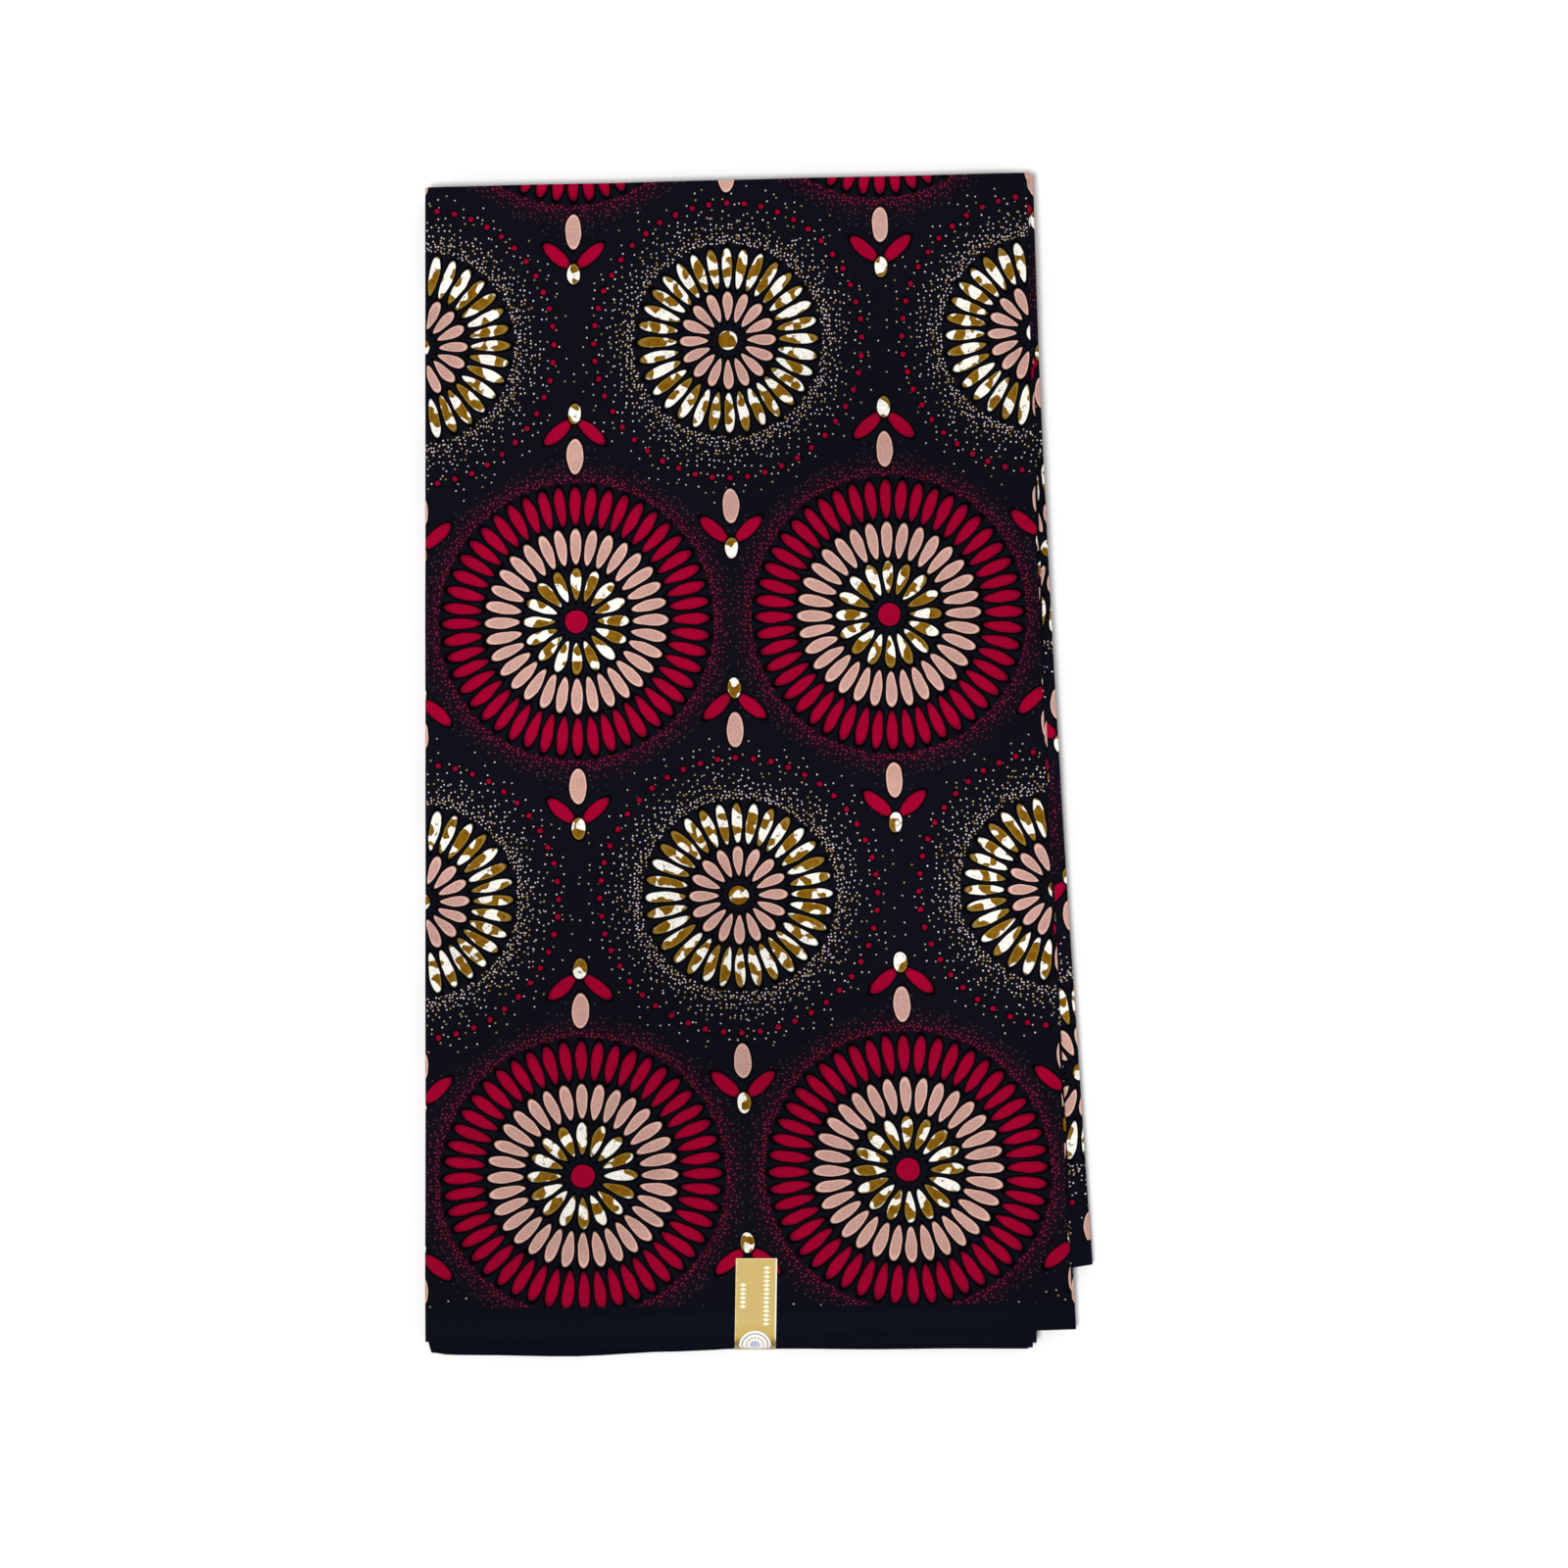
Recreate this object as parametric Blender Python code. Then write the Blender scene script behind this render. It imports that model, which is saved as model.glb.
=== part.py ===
"""A length of wax-print cotton, folded for sale, with a paper band round its front edge.

The cloth is one rectangle. It is folded once across its width, so its centre fold is at the back (+Y)
and its two selvedges are at the front (-Y). Then it is folded to and fro along its length into doubled
panels that lie on each other. The pack rests on the plane z = 0, and its origin is under its middle.

Heights inside a stack are counted in panels: a whole number is the joint between two doubled panels, and
a half is the joint between the two layers of one panel. Along a left or right side, a share of 0 is the
back and 1 is the front. Along a back or front side, 0 is the left and 1 is the right.
"""

import math
from typing import Callable, NamedTuple

import bmesh
import bpy
from mathutils import Vector

# Cloth and clearances, in metres like every size here
PANEL_PITCH = 0.00095       # height of one doubled panel in the pack
GAP = 0.0003                # between pieces that rest on each other
HALF = 0.5                  # one layer, in panels

# Heights of the stacks
BASE_PANELS = 2
CORE_PANELS = 13
FAN_PANELS = 2
TOP_PANELS = 1
TOP_PITCH = 0.0011
CORE_BOTTOM = BASE_PANELS * PANEL_PITCH + GAP
CORE_TOP = CORE_BOTTOM + CORE_PANELS * PANEL_PITCH
FAN_BOTTOM = CORE_TOP + GAP
FAN_HEIGHT = FAN_PANELS * PANEL_PITCH
TOP_BOTTOM = FAN_BOTTOM + FAN_HEIGHT + GAP

# Sides of the straight panels
CORE_LEFT_BACK = -0.1700
CORE_LEFT_FRONT = -0.1678
CORE_RIGHT = 0.1366
CORE_BACK = 0.2890
CORE_FRONT = -0.2975        # the line that the front edges wander from

# Sides of the top panel
TOP_LEFT = -0.1705
TOP_RIGHT_BACK = 0.1378
TOP_RIGHT_FRONT = 0.1613
TOP_BACK_LEFT = 0.2945
TOP_BACK_RIGHT = 0.30175
TOP_FRONT_LEFT = -0.2947
TOP_FRONT_RIGHT = -0.2878

# Sides of the fanned fold
FAN_LEFT = -0.1701
FAN_RIGHT_BACK = 0.1400
FAN_RIGHT_FRONT = 0.1705
FAN_BACK_LEFT = 0.2935
FAN_BACK_RIGHT = 0.3008
FAN_FRONT_LEFT = -0.2963
FAN_FRONT_RIGHT = -0.2555
SWING_POWER = 1.33          # a fanned side starts along the pack and then swings out

# Rounding of the edges
GROOVE_SHARE = 0.46         # depth of the groove between two folds, over the height of a fold
GROOVE_MOST = 0.0008
STEPS_A_LAYER = 2
SHARP_ANGLE = math.radians(50.0)

# Settling of the upper panels towards the sides of the pack
SETTLE_START = 0.015        # from the side of the core, inwards
SETTLE_RADIUS = 0.150
FAN_EDGE_CLEAR = 0.002      # the top panel stays up this far past the fanned fold's front edge
FAN_EDGE_RAMP = 0.022       # and comes down to the core over this length

# Distances of the mesh's lines from the sides of a stack, close together where it settles
PANEL_WIDTH = 0.310
PANEL_LENGTH = 0.589
NEAR_LINES = (0.0, 0.0035, 0.009, 0.018)
RIGHT_LINES = (0.0, 0.004, 0.010, 0.018, 0.026, 0.033, 0.040, 0.048)
FRONT_LINES = (0.0, 0.0035, 0.008, 0.013, 0.018, 0.024, 0.030, 0.036, 0.044)
BACK_LINES = (0.0, 0.004, 0.009, 0.016, 0.024, 0.032)
MIDDLE_COLUMNS = 4
MIDDLE_ROWS = 5

# Paper band
BAND_MIDDLE = -0.00125
BAND_WIDTH = 0.0210
BAND_THICKNESS = 0.0005
BAND_BACK = -0.25225        # where the upper flap ends
BAND_UNDER_BACK = -0.2620   # where the flap under the pack ends
BAND_FACE = -0.2986         # its inner face, down the front of the pack
BAND_TURN = 0.0007          # radius of its lower turn, at the middle of the paper
BAND_SHOULDER = 0.0030      # how far back from its face the shoulder starts
BAND_COLUMNS = 3
BAND_FLAP_STEPS = 8
BAND_DROP_STEPS = 5
BAND_TURN_STEPS = 5
BAND_UNDER_STEPS = 3
RECESS_DEPTH = BAND_THICKNESS + GAP
RECESS_MARGIN = 0.0008      # round the flap, in the underside of the base fold


class Loop(NamedTuple):
    """One fold or free edge on a side of a stack, and how far it stands out from the side's line."""

    panels: float           # its height
    out: float = 0.0        # all along the side
    swing: float = 0.0      # more, towards the end of the side


class Stack(NamedTuple):
    """A stack of doubled panels: its lowest height, its sides' lines and the loops on each side."""

    bottom: float
    pitch: float
    panels: int
    line_left: Callable[[float], float]
    line_right: Callable[[float], float]
    line_front: Callable[[float], float]
    line_back: Callable[[float], float]
    left: tuple
    right: tuple
    front: tuple
    back: tuple
    lower: Callable[[float, float, float], float]
    right_lines: tuple = NEAR_LINES
    front_lines: tuple = NEAR_LINES
    back_lines: tuple = NEAR_LINES


def straight(start, end):
    """A side's line from its start to its end."""
    return lambda share: start + (end - start) * share


def swung(start, end):
    """A side's line that runs along the pack first and then swings out."""
    return lambda share: start + (end - start) * share ** SWING_POWER


# The front edges of the straight panels wander: share across the pack, and y
FRONT_WANDER = (
    (0.00, -0.2990),
    (0.07, -0.3004),
    (0.22, -0.3010),
    (0.42, -0.2986),
    (0.50, -0.2975),
    (0.62, -0.2974),
    (1.00, -0.2969),
)


def wandering(rows):
    """A side's line, eased from row to row of a table of (share, place)."""
    def line(share):
        for (share_a, place_a), (share_b, place_b) in zip(rows, rows[1:]):
            if share <= share_b:
                turn = (share - share_a) / (share_b - share_a)
                ease = 0.5 - 0.5 * math.cos(math.pi * turn)
                return place_a + (place_b - place_a) * ease
        return rows[-1][1]
    return line


# The core's folds from the lowest up: panels, out, swing
CORE_LEFT_FOLDS = (
    Loop(2, -0.0003), Loop(2, 0.0004), Loop(2, -0.0006), Loop(2, 0.0001),
    Loop(2, 0.0005), Loop(2, -0.0002), Loop(1, 0.0003),
)
CORE_RIGHT_FOLDS = (
    Loop(1, 0.0002, -0.0004), Loop(2, -0.0005, 0.0003), Loop(2, 0.0004, 0.0000), Loop(2, -0.0002, 0.0008),
    Loop(2, 0.0003, 0.0012), Loop(2, -0.0004, 0.0030), Loop(2, 0.0002, 0.0043),
)
# Its panels' centre folds, at the back
CORE_BACK_FOLDS = tuple(Loop(1, out, swing) for out, swing in (
    (0.0004, -0.0006), (-0.0003, 0.0002), (0.0007, -0.0004), (0.0000, 0.0006), (-0.0006, 0.0004),
    (0.0005, -0.0003), (0.0002, 0.0005), (-0.0005, 0.0009), (0.0006, 0.0002), (0.0001, 0.0010),
    (0.0008, 0.0006), (0.0003, 0.0016), (0.0009, 0.0024),
))
# Its panels' selvedges, at the front, two to a panel
CORE_FRONT_EDGES = tuple(Loop(HALF, out, swing) for out, swing in (
    (-0.0004, 0.0002), (-0.0010, 0.0003), (-0.0002, -0.0004), (-0.0007, 0.0001), (-0.0012, 0.0006),
    (-0.0005, -0.0002), (-0.0001, -0.0006), (-0.0009, 0.0003), (-0.0004, -0.0003), (-0.0013, 0.0004),
    (-0.0006, -0.0004), (-0.0002, -0.0008), (-0.0010, 0.0000), (-0.0005, -0.0005), (-0.0014, 0.0004),
    (-0.0008, -0.0004), (-0.0003, -0.0012), (-0.0011, -0.0006), (-0.0006, -0.0016), (-0.0013, -0.0010),
    (-0.0007, -0.0022), (-0.0012, -0.0019), (-0.0009, -0.0032), (-0.0016, -0.0028), (-0.0012, -0.0046),
    (-0.0019, -0.0042),
))


def core_lines():
    """The lines of the straight panels' left, right, front and back sides."""
    return (
        straight(CORE_LEFT_BACK, CORE_LEFT_FRONT),
        straight(CORE_RIGHT, CORE_RIGHT),
        wandering(FRONT_WANDER),
        straight(CORE_BACK, CORE_BACK),
    )


def side_reach(loops, height, share):
    """How far a side stands out from its line at a height in panels: round folds with grooves between."""
    low = 0.0
    reach = math.inf
    for loop in loops:
        high = low + loop.panels
        if low <= height <= high:
            phase = (height - low) / loop.panels
            depth = min(GROOVE_MOST, GROOVE_SHARE * loop.panels * PANEL_PITCH)
            inset = depth * (1.0 - math.sqrt(max(0.0, 1.0 - (2.0 * phase - 1.0) ** 2)))
            reach = min(reach, loop.out + loop.swing * share ** SWING_POWER - inset)
        low = high
    return reach


def sink(x, y):
    """How far the top of the core settles at a place, and what hangs past its sides."""
    inside = (x - CORE_LEFT_BACK, CORE_RIGHT - x, y - CORE_FRONT, CORE_BACK - y)
    return sum(max(0.0, SETTLE_START - distance) ** 2 for distance in inside) / (2.0 * SETTLE_RADIUS)


def settled(x, y, z):
    """A height in the pack after it has settled: all of it at the core's top, nothing at the table."""
    return z - sink(x, y) * min(1.0, z / CORE_TOP)


def fan_front(x):
    """The front edge of the fanned fold at a place across the pack."""
    share = min(1.0, max(0.0, (x - FAN_LEFT) / (FAN_RIGHT_FRONT - FAN_LEFT)))
    return swung(FAN_FRONT_LEFT, FAN_FRONT_RIGHT)(share)


def over_fan(x, y, z):
    """A height of the top panel, which comes down to the core past the fanned fold's front edge."""
    past = (fan_front(x) - FAN_EDGE_CLEAR - y) / FAN_EDGE_RAMP
    past = min(1.0, max(0.0, past))
    down = past * past * (3.0 - 2.0 * past)
    return settled(x, y, z) - down * (FAN_HEIGHT + GAP)


def shares(length, near, far, middle_lines):
    """Places of the mesh's lines across a length, as shares of it, from the near side to the far side."""
    first = near[-1]
    last = length - far[-1]
    steps = middle_lines + 1
    middle = [first + (last - first) * step / steps for step in range(1, steps)]
    places = list(near) + middle + [length - place for place in reversed(far)]
    return [place / length for place in places]


def block(columns, rows, levels):
    """A closed block of unit cells, with faces inside only on its lowest and highest level."""
    bm = bmesh.new()
    bmesh.ops.create_grid(bm, x_segments=columns, y_segments=rows, size=0.5)
    bmesh.ops.translate(bm, vec=(0.5, 0.5, 0.0), verts=bm.verts)
    bmesh.ops.scale(bm, vec=(columns, rows, 1.0), verts=bm.verts)
    lid = bm.faces[:]
    for level in range(levels):
        raised = bmesh.ops.extrude_face_region(bm, geom=lid, use_keep_orig=level == 0)["geom"]
        if level:
            bmesh.ops.delete(bm, geom=[face for face in lid if face.is_valid], context="FACES")
        lid = [part for part in raised if isinstance(part, bmesh.types.BMFace)]
        corners = [part for part in raised if isinstance(part, bmesh.types.BMVert)]
        bmesh.ops.translate(bm, vec=(0.0, 0.0, 1.0), verts=corners)
    return bm


def finish_object(name, bm, material):
    """A shaded object of a closed mesh, with its faces outwards."""
    bmesh.ops.recalc_face_normals(bm, faces=bm.faces)
    if bm.calc_volume(signed=True) < 0.0:
        bmesh.ops.reverse_faces(bm, faces=bm.faces)
    mesh = bpy.data.meshes.new(name)
    bm.to_mesh(mesh)
    bm.free()
    mesh.shade_smooth()
    mesh.set_sharp_from_angle(angle=SHARP_ANGLE)
    mesh.materials.append(material)
    made = bpy.data.objects.new(name, mesh)
    bpy.context.scene.collection.objects.link(made)
    return made


def stack_object(name, stack, material):
    """The solid of a stack: one mesh, rounded and layered at its sides."""
    across = shares(PANEL_WIDTH, NEAR_LINES, stack.right_lines, MIDDLE_COLUMNS)
    along = shares(PANEL_LENGTH, stack.front_lines, stack.back_lines, MIDDLE_ROWS)
    levels = round(stack.panels * 2 * STEPS_A_LAYER)
    bm = block(len(across) - 1, len(along) - 1, levels)
    for vert in bm.verts:
        u = across[round(vert.co.x)]
        v = along[round(vert.co.y)]
        height = round(vert.co.z) * stack.panels / levels
        left = stack.line_left(1.0 - v) - side_reach(stack.left, height, 1.0 - v)
        right = stack.line_right(1.0 - v) + side_reach(stack.right, height, 1.0 - v)
        front = stack.line_front(u) - side_reach(stack.front, height, u)
        back = stack.line_back(u) + side_reach(stack.back, height, u)
        x = left + (right - left) * u
        y = front + (back - front) * v
        vert.co = Vector((x, y, stack.lower(x, y, stack.bottom + height * stack.pitch)))
    return finish_object(name, bm, material)


def base_stack():
    """The lowest fold, joined at its left, with the cloth's inner cut end at its right."""
    left, right, front, back = core_lines()
    edges = (Loop(HALF, 0.00075), Loop(HALF, 0.0004), Loop(HALF, 0.0006), Loop(HALF, -0.0002, -0.0004))
    return Stack(
        bottom=0.0, pitch=PANEL_PITCH, panels=BASE_PANELS,
        line_left=left, line_right=right, line_front=front, line_back=back,
        left=(Loop(2, 0.0001),),
        right=(Loop(HALF, -0.0006), Loop(HALF, 0.0004), Loop(1, 0.0001)),
        front=edges,
        back=(Loop(1, 0.0003), Loop(1, -0.0004, 0.0008)),
        lower=settled,
    )


def core_stack():
    """The hidden panels, which share one rounded solid."""
    left, right, front, back = core_lines()
    return Stack(
        bottom=CORE_BOTTOM, pitch=PANEL_PITCH, panels=CORE_PANELS,
        line_left=left, line_right=right, line_front=front, line_back=back,
        left=CORE_LEFT_FOLDS, right=CORE_RIGHT_FOLDS, front=CORE_FRONT_EDGES, back=CORE_BACK_FOLDS,
        lower=settled,
    )


def fan_stack():
    """The fold that swings out to the right, joined at its right."""
    return Stack(
        bottom=FAN_BOTTOM, pitch=PANEL_PITCH, panels=FAN_PANELS,
        line_left=straight(FAN_LEFT, FAN_LEFT), line_right=swung(FAN_RIGHT_BACK, FAN_RIGHT_FRONT),
        line_front=swung(FAN_FRONT_LEFT, FAN_FRONT_RIGHT), line_back=straight(FAN_BACK_LEFT, FAN_BACK_RIGHT),
        left=(Loop(1, -0.0012), Loop(1, 0.0)),
        right=(Loop(2, 0.0),),
        front=(Loop(HALF, -0.0011), Loop(HALF, -0.0004), Loop(HALF, -0.0008), Loop(HALF, 0.0)),
        back=(Loop(1, -0.0016), Loop(1, 0.0)),
        lower=settled,
        right_lines=RIGHT_LINES, front_lines=FRONT_LINES, back_lines=BACK_LINES,
    )


def top_stack():
    """The panel on top, whose lower layer stands out a little at its cut end on the right."""
    return Stack(
        bottom=TOP_BOTTOM, pitch=TOP_PITCH, panels=TOP_PANELS,
        line_left=straight(TOP_LEFT, TOP_LEFT), line_right=swung(TOP_RIGHT_BACK, TOP_RIGHT_FRONT),
        line_front=straight(TOP_FRONT_LEFT, TOP_FRONT_RIGHT),
        line_back=straight(TOP_BACK_LEFT, TOP_BACK_RIGHT),
        left=(Loop(1, 0.0),),
        right=(Loop(HALF, 0.0), Loop(HALF, -0.0012)),
        front=(Loop(HALF, 0.0004), Loop(HALF, 0.0)),
        back=(Loop(1, 0.0),),
        lower=over_fan,
        right_lines=RIGHT_LINES, front_lines=FRONT_LINES, back_lines=BACK_LINES,
    )


def top_surface(x, y):
    """The height of the top panel's upper face."""
    return over_fan(x, y, TOP_BOTTOM + TOP_PANELS * TOP_PITCH)


def band_route(x):
    """The middle of the paper at a place across the band: (y, z) from its upper end to its lower one."""
    rise = GAP + BAND_THICKNESS / 2.0
    face = BAND_FACE - BAND_THICKNESS / 2.0
    front_share = (x - TOP_LEFT) / (TOP_RIGHT_FRONT - TOP_LEFT)
    edge = straight(TOP_FRONT_LEFT, TOP_FRONT_RIGHT)(front_share) - GAP
    flap = [BAND_BACK + (edge - BAND_BACK) * step / BAND_FLAP_STEPS for step in range(BAND_FLAP_STEPS + 1)]
    route = [(y, top_surface(x, y) + rise) for y in flap]
    shoulder_z = settled(x, CORE_FRONT, CORE_TOP) + rise
    route.append((face + BAND_SHOULDER, shoulder_z + BAND_SHOULDER / 2.0))
    route.append((face + BAND_THICKNESS, shoulder_z))
    lowest = BAND_THICKNESS / 2.0 + BAND_TURN
    drop = shoulder_z - 2.0 * BAND_THICKNESS
    route += [(face, drop + (lowest - drop) * step / BAND_DROP_STEPS) for step in range(BAND_DROP_STEPS + 1)]
    for step in range(1, BAND_TURN_STEPS + 1):
        turn = math.pi / 2.0 * step / BAND_TURN_STEPS
        route.append((face + BAND_TURN * (1.0 - math.cos(turn)), lowest - BAND_TURN * math.sin(turn)))
    start = face + BAND_TURN
    for step in range(1, BAND_UNDER_STEPS + 1):
        route.append((start + (BAND_UNDER_BACK - start) * step / BAND_UNDER_STEPS, BAND_THICKNESS / 2.0))
    return route


def band_object(material):
    """The paper band: a strip along its route, thickened to both sides of it."""
    steps = len(band_route(BAND_MIDDLE)) - 1
    bm = block(BAND_COLUMNS, steps, 1)
    for vert in bm.verts:
        x = BAND_MIDDLE + BAND_WIDTH * (vert.co.x / BAND_COLUMNS - 0.5)
        route = band_route(x)
        place = round(vert.co.y)
        before = Vector(route[max(0, place - 1)])
        after = Vector(route[min(steps, place + 1)])
        along = (after - before).normalized()
        outwards = Vector((along.y, -along.x))
        middle = Vector(route[place]) - outwards * BAND_THICKNESS * (vert.co.z - 0.5)
        vert.co = Vector((x, middle.x, middle.y))
    return finish_object("label_band", bm, material)


def cut_recess(base):
    """A shallow place in the underside of the base fold, which takes the band's lower flap."""
    width = BAND_WIDTH + 2.0 * RECESS_MARGIN
    back = BAND_UNDER_BACK + RECESS_MARGIN
    front = BAND_FACE - GAP - SETTLE_START
    bm = bmesh.new()
    bmesh.ops.create_cube(bm, size=1.0)
    bmesh.ops.scale(bm, vec=(width, back - front, 2.0 * RECESS_DEPTH), verts=bm.verts)
    bmesh.ops.translate(bm, vec=(BAND_MIDDLE, (back + front) / 2.0, 0.0), verts=bm.verts)
    cutter = finish_object("band_recess", bm, base.data.materials[0])
    cutter.hide_render = True
    cutter.display_type = "WIRE"
    cut = base.modifiers.new("band_recess", "BOOLEAN")
    cut.operation = "DIFFERENCE"
    cut.solver = "EXACT"
    cut.object = cutter


def dyed(name, colour, roughness):
    """A plain finish with the colour that shows most."""
    material = bpy.data.materials.new(name)
    material.use_nodes = True
    shader = material.node_tree.nodes["Principled BSDF"]
    shader.inputs["Base Color"].default_value = (*colour, 1.0)
    shader.inputs["Roughness"].default_value = roughness
    shader.inputs["Metallic"].default_value = 0.0
    return material


def main():
    """Clear the scene and build the five pieces."""
    for old in list(bpy.data.objects):
        bpy.data.objects.remove(old, do_unlink=True)
    base = stack_object("base_fold", base_stack(), dyed("base_cotton", (0.010, 0.011, 0.018), 0.70))
    cut_recess(base)
    stack_object("folded_core", core_stack(), dyed("core_cotton", (0.014, 0.012, 0.018), 0.70))
    stack_object("fanned_fold", fan_stack(), dyed("fan_cotton", (0.020, 0.011, 0.017), 0.65))
    stack_object("top_panel", top_stack(), dyed("top_cotton", (0.009, 0.010, 0.016), 0.60))
    band_object(dyed("band_paper", (0.638, 0.491, 0.162), 0.45))


main()
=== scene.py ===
"""The looks of a folded length of wax-print cotton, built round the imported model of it.

The cloth is one long rectangle. It is folded once across its width, with the centre fold at the back (+Y)
and the two selvedges at the front (-Y), and then to and fro along its length into eighteen doubled panels,
numbered from the table up. Each stack of panels in the model is one piece of thin cloth here. A paper band
with a round seal goes round the front edge.

Every size is in metres. Along a left or right side, a share of 0 is the back and 1 is the front. Along a
front or back side, a share of 0 is the left and 1 is the right.
"""

from __future__ import annotations

import logging
import math
from dataclasses import dataclass
from enum import Enum
from typing import Callable, Sequence

import bmesh
import bpy
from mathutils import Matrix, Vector, noise

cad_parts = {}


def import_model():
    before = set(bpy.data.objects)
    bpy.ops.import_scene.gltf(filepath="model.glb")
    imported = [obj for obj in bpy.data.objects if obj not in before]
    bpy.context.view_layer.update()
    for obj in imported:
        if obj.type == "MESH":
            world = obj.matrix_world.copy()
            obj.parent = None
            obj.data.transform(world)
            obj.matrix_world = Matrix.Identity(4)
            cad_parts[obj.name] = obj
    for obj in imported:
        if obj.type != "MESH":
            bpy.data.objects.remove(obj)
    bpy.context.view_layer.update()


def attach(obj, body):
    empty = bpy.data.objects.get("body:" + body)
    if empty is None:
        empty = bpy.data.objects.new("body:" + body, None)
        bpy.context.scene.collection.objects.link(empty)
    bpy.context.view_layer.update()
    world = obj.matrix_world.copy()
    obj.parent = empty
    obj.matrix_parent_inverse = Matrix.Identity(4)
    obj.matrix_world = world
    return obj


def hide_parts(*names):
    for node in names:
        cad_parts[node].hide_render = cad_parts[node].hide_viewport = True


log = logging.getLogger("folded_cotton")

CLOTH_MAP = "cloth"         # metres on the flat cloth or paper
BAKE_MAP = "OFBake"

# Cloth
CLOTH_THICKNESS = 0.00032
CLOTH_WIDTH = 1.178
CLOTH_LENGTH = 5.49
PANEL_LENGTH = CLOTH_WIDTH / 2.0
PANEL_WIDTH = 0.310         # about, for spacing the lines of the mesh
SHARP_ANGLE = math.radians(50.0)

# Heights of the stacks, as in the model
PANEL_PITCH = 0.00095
TOP_PITCH = 0.0011
GAP = 0.0003
BASE_PANELS = 2
CORE_PANELS = 13
FAN_PANELS = 2
CORE_BOTTOM = BASE_PANELS * PANEL_PITCH + GAP
CORE_TOP = CORE_BOTTOM + CORE_PANELS * PANEL_PITCH
FAN_BOTTOM = CORE_TOP + GAP
FAN_HEIGHT = FAN_PANELS * PANEL_PITCH
TOP_BOTTOM = FAN_BOTTOM + FAN_HEIGHT + GAP
PACK_TOP = TOP_BOTTOM + TOP_PITCH
FACE_OFFSET = PANEL_PITCH / 4.0 + CLOTH_THICKNESS / 2.0     # of a layer's outer face from its panel's middle

# Sides of the straight panels, of the top panel and of the fanned fold
CORE_LEFT_BACK = -0.1700
CORE_LEFT_FRONT = -0.1678
CORE_RIGHT = 0.1366
CORE_BACK = 0.2890
CORE_FRONT = -0.2975
TOP_LEFT = -0.1705
TOP_RIGHT_BACK = 0.1378
TOP_RIGHT_FRONT = 0.1619
TOP_BACK_LEFT = 0.2942
TOP_BACK_RIGHT = 0.30175
TOP_FRONT_LEFT = -0.2947
TOP_FRONT_RIGHT = -0.2885
FAN_LEFT = -0.1701
FAN_RIGHT_BACK = 0.1402
FAN_RIGHT_FRONT = 0.1705
FAN_BACK_LEFT = 0.2935
FAN_BACK_RIGHT = 0.3008
FAN_FRONT_LEFT = -0.2951
FAN_FRONT_RIGHT = -0.2559
SWING_POWER = 1.33

# Settling of the upper panels towards the sides of the pack
SETTLE_START = 0.015        # how far inside the core's sides they start to come down
SETTLE_RADIUS = 0.150       # of the curve in which they do
FAN_EDGE_CLEAR = 0.002      # how far past the fanned fold the top panel starts to come down to the core
FAN_EDGE_RAMP = 0.022       # and how far it takes

# Paper band
BAND_MIDDLE = -0.00125
BAND_WIDTH = 0.0210
BAND_BACK = -0.25225
BAND_UNDER_BACK = -0.2620
BAND_SHOULDER = -0.2973     # where it turns down over the pack's upper front edge
BAND_FACE = -0.2994         # where it reaches the table
PAPER_THICKNESS = 0.00022
PAPER_CLEAR = 0.00006       # between the paper and what it lies on
PAPER_LIFT = 0.00030        # how far the lowest cloth rises over the paper under it
PAPER_LIFT_PAST = 0.003     # how far past the paper's edges that rise goes on
PAPER_LIFT_FADE = 0.022     # and over what distance it fades
SEAL_RADIUS = 0.0081

Pair = tuple[float, float]
Colour = tuple[float, float, float, float]
Line = Callable[[float], float]
Lower = Callable[[float, float, float], float]
Laid = tuple[Vector, Vector]        # a place on the flat sheet, and where it lies in the pack


class Slot(Enum):
    """The record's material slots."""

    COTTON = "printed_cotton"
    PAPER = "band_paper"


class Way(Enum):
    """The way in which a panel runs, from the cloth's inner end to its outer one."""

    LEFT = -1
    RIGHT = 1


def clamp(value: float, low: float = 0.0, high: float = 1.0) -> float:
    """A value kept between two limits."""
    return min(high, max(low, value))


def ease(share: float) -> float:
    """A share that starts and ends gently."""
    share = clamp(share)
    return share * share * (3.0 - 2.0 * share)


def blend(start: float, end: float, share: float) -> float:
    """A value part of the way from one value to another."""
    return start + (end - start) * share


def come_round(turn: float) -> float:
    """How far across a half turn has come at an angle, from 0 to 1."""
    return 0.5 - 0.5 * math.cos(turn)


# The sRGB curve: a straight foot, then a power
SCREEN_FULL = 255.0
CURVE_FOOT = 0.04045
CURVE_SLOPE = 12.92
CURVE_SHIFT = 0.055
CURVE_POWER = 2.4


def linear(red: int, green: int, blue: int) -> Colour:
    """A shader's colour from a screen's, by the sRGB curve.

    Args:
        red: From 0 to 255.
        green: From 0 to 255.
        blue: From 0 to 255.

    Returns:
        The colour, opaque.
    """
    light = []
    for part in (red / SCREEN_FULL, green / SCREEN_FULL, blue / SCREEN_FULL):
        if part <= CURVE_FOOT:
            light.append(part / CURVE_SLOPE)
        else:
            light.append(((part + CURVE_SHIFT) / (1.0 + CURVE_SHIFT)) ** CURVE_POWER)
    return (light[0], light[1], light[2], 1.0)


def straight(start: float, end: float) -> Line:
    """A side's line from its start to its end."""
    return lambda share: blend(start, end, share)


def swung(start: float, end: float) -> Line:
    """A side's line that runs along the pack first and then swings out."""
    return lambda share: blend(start, end, share ** SWING_POWER)


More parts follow.
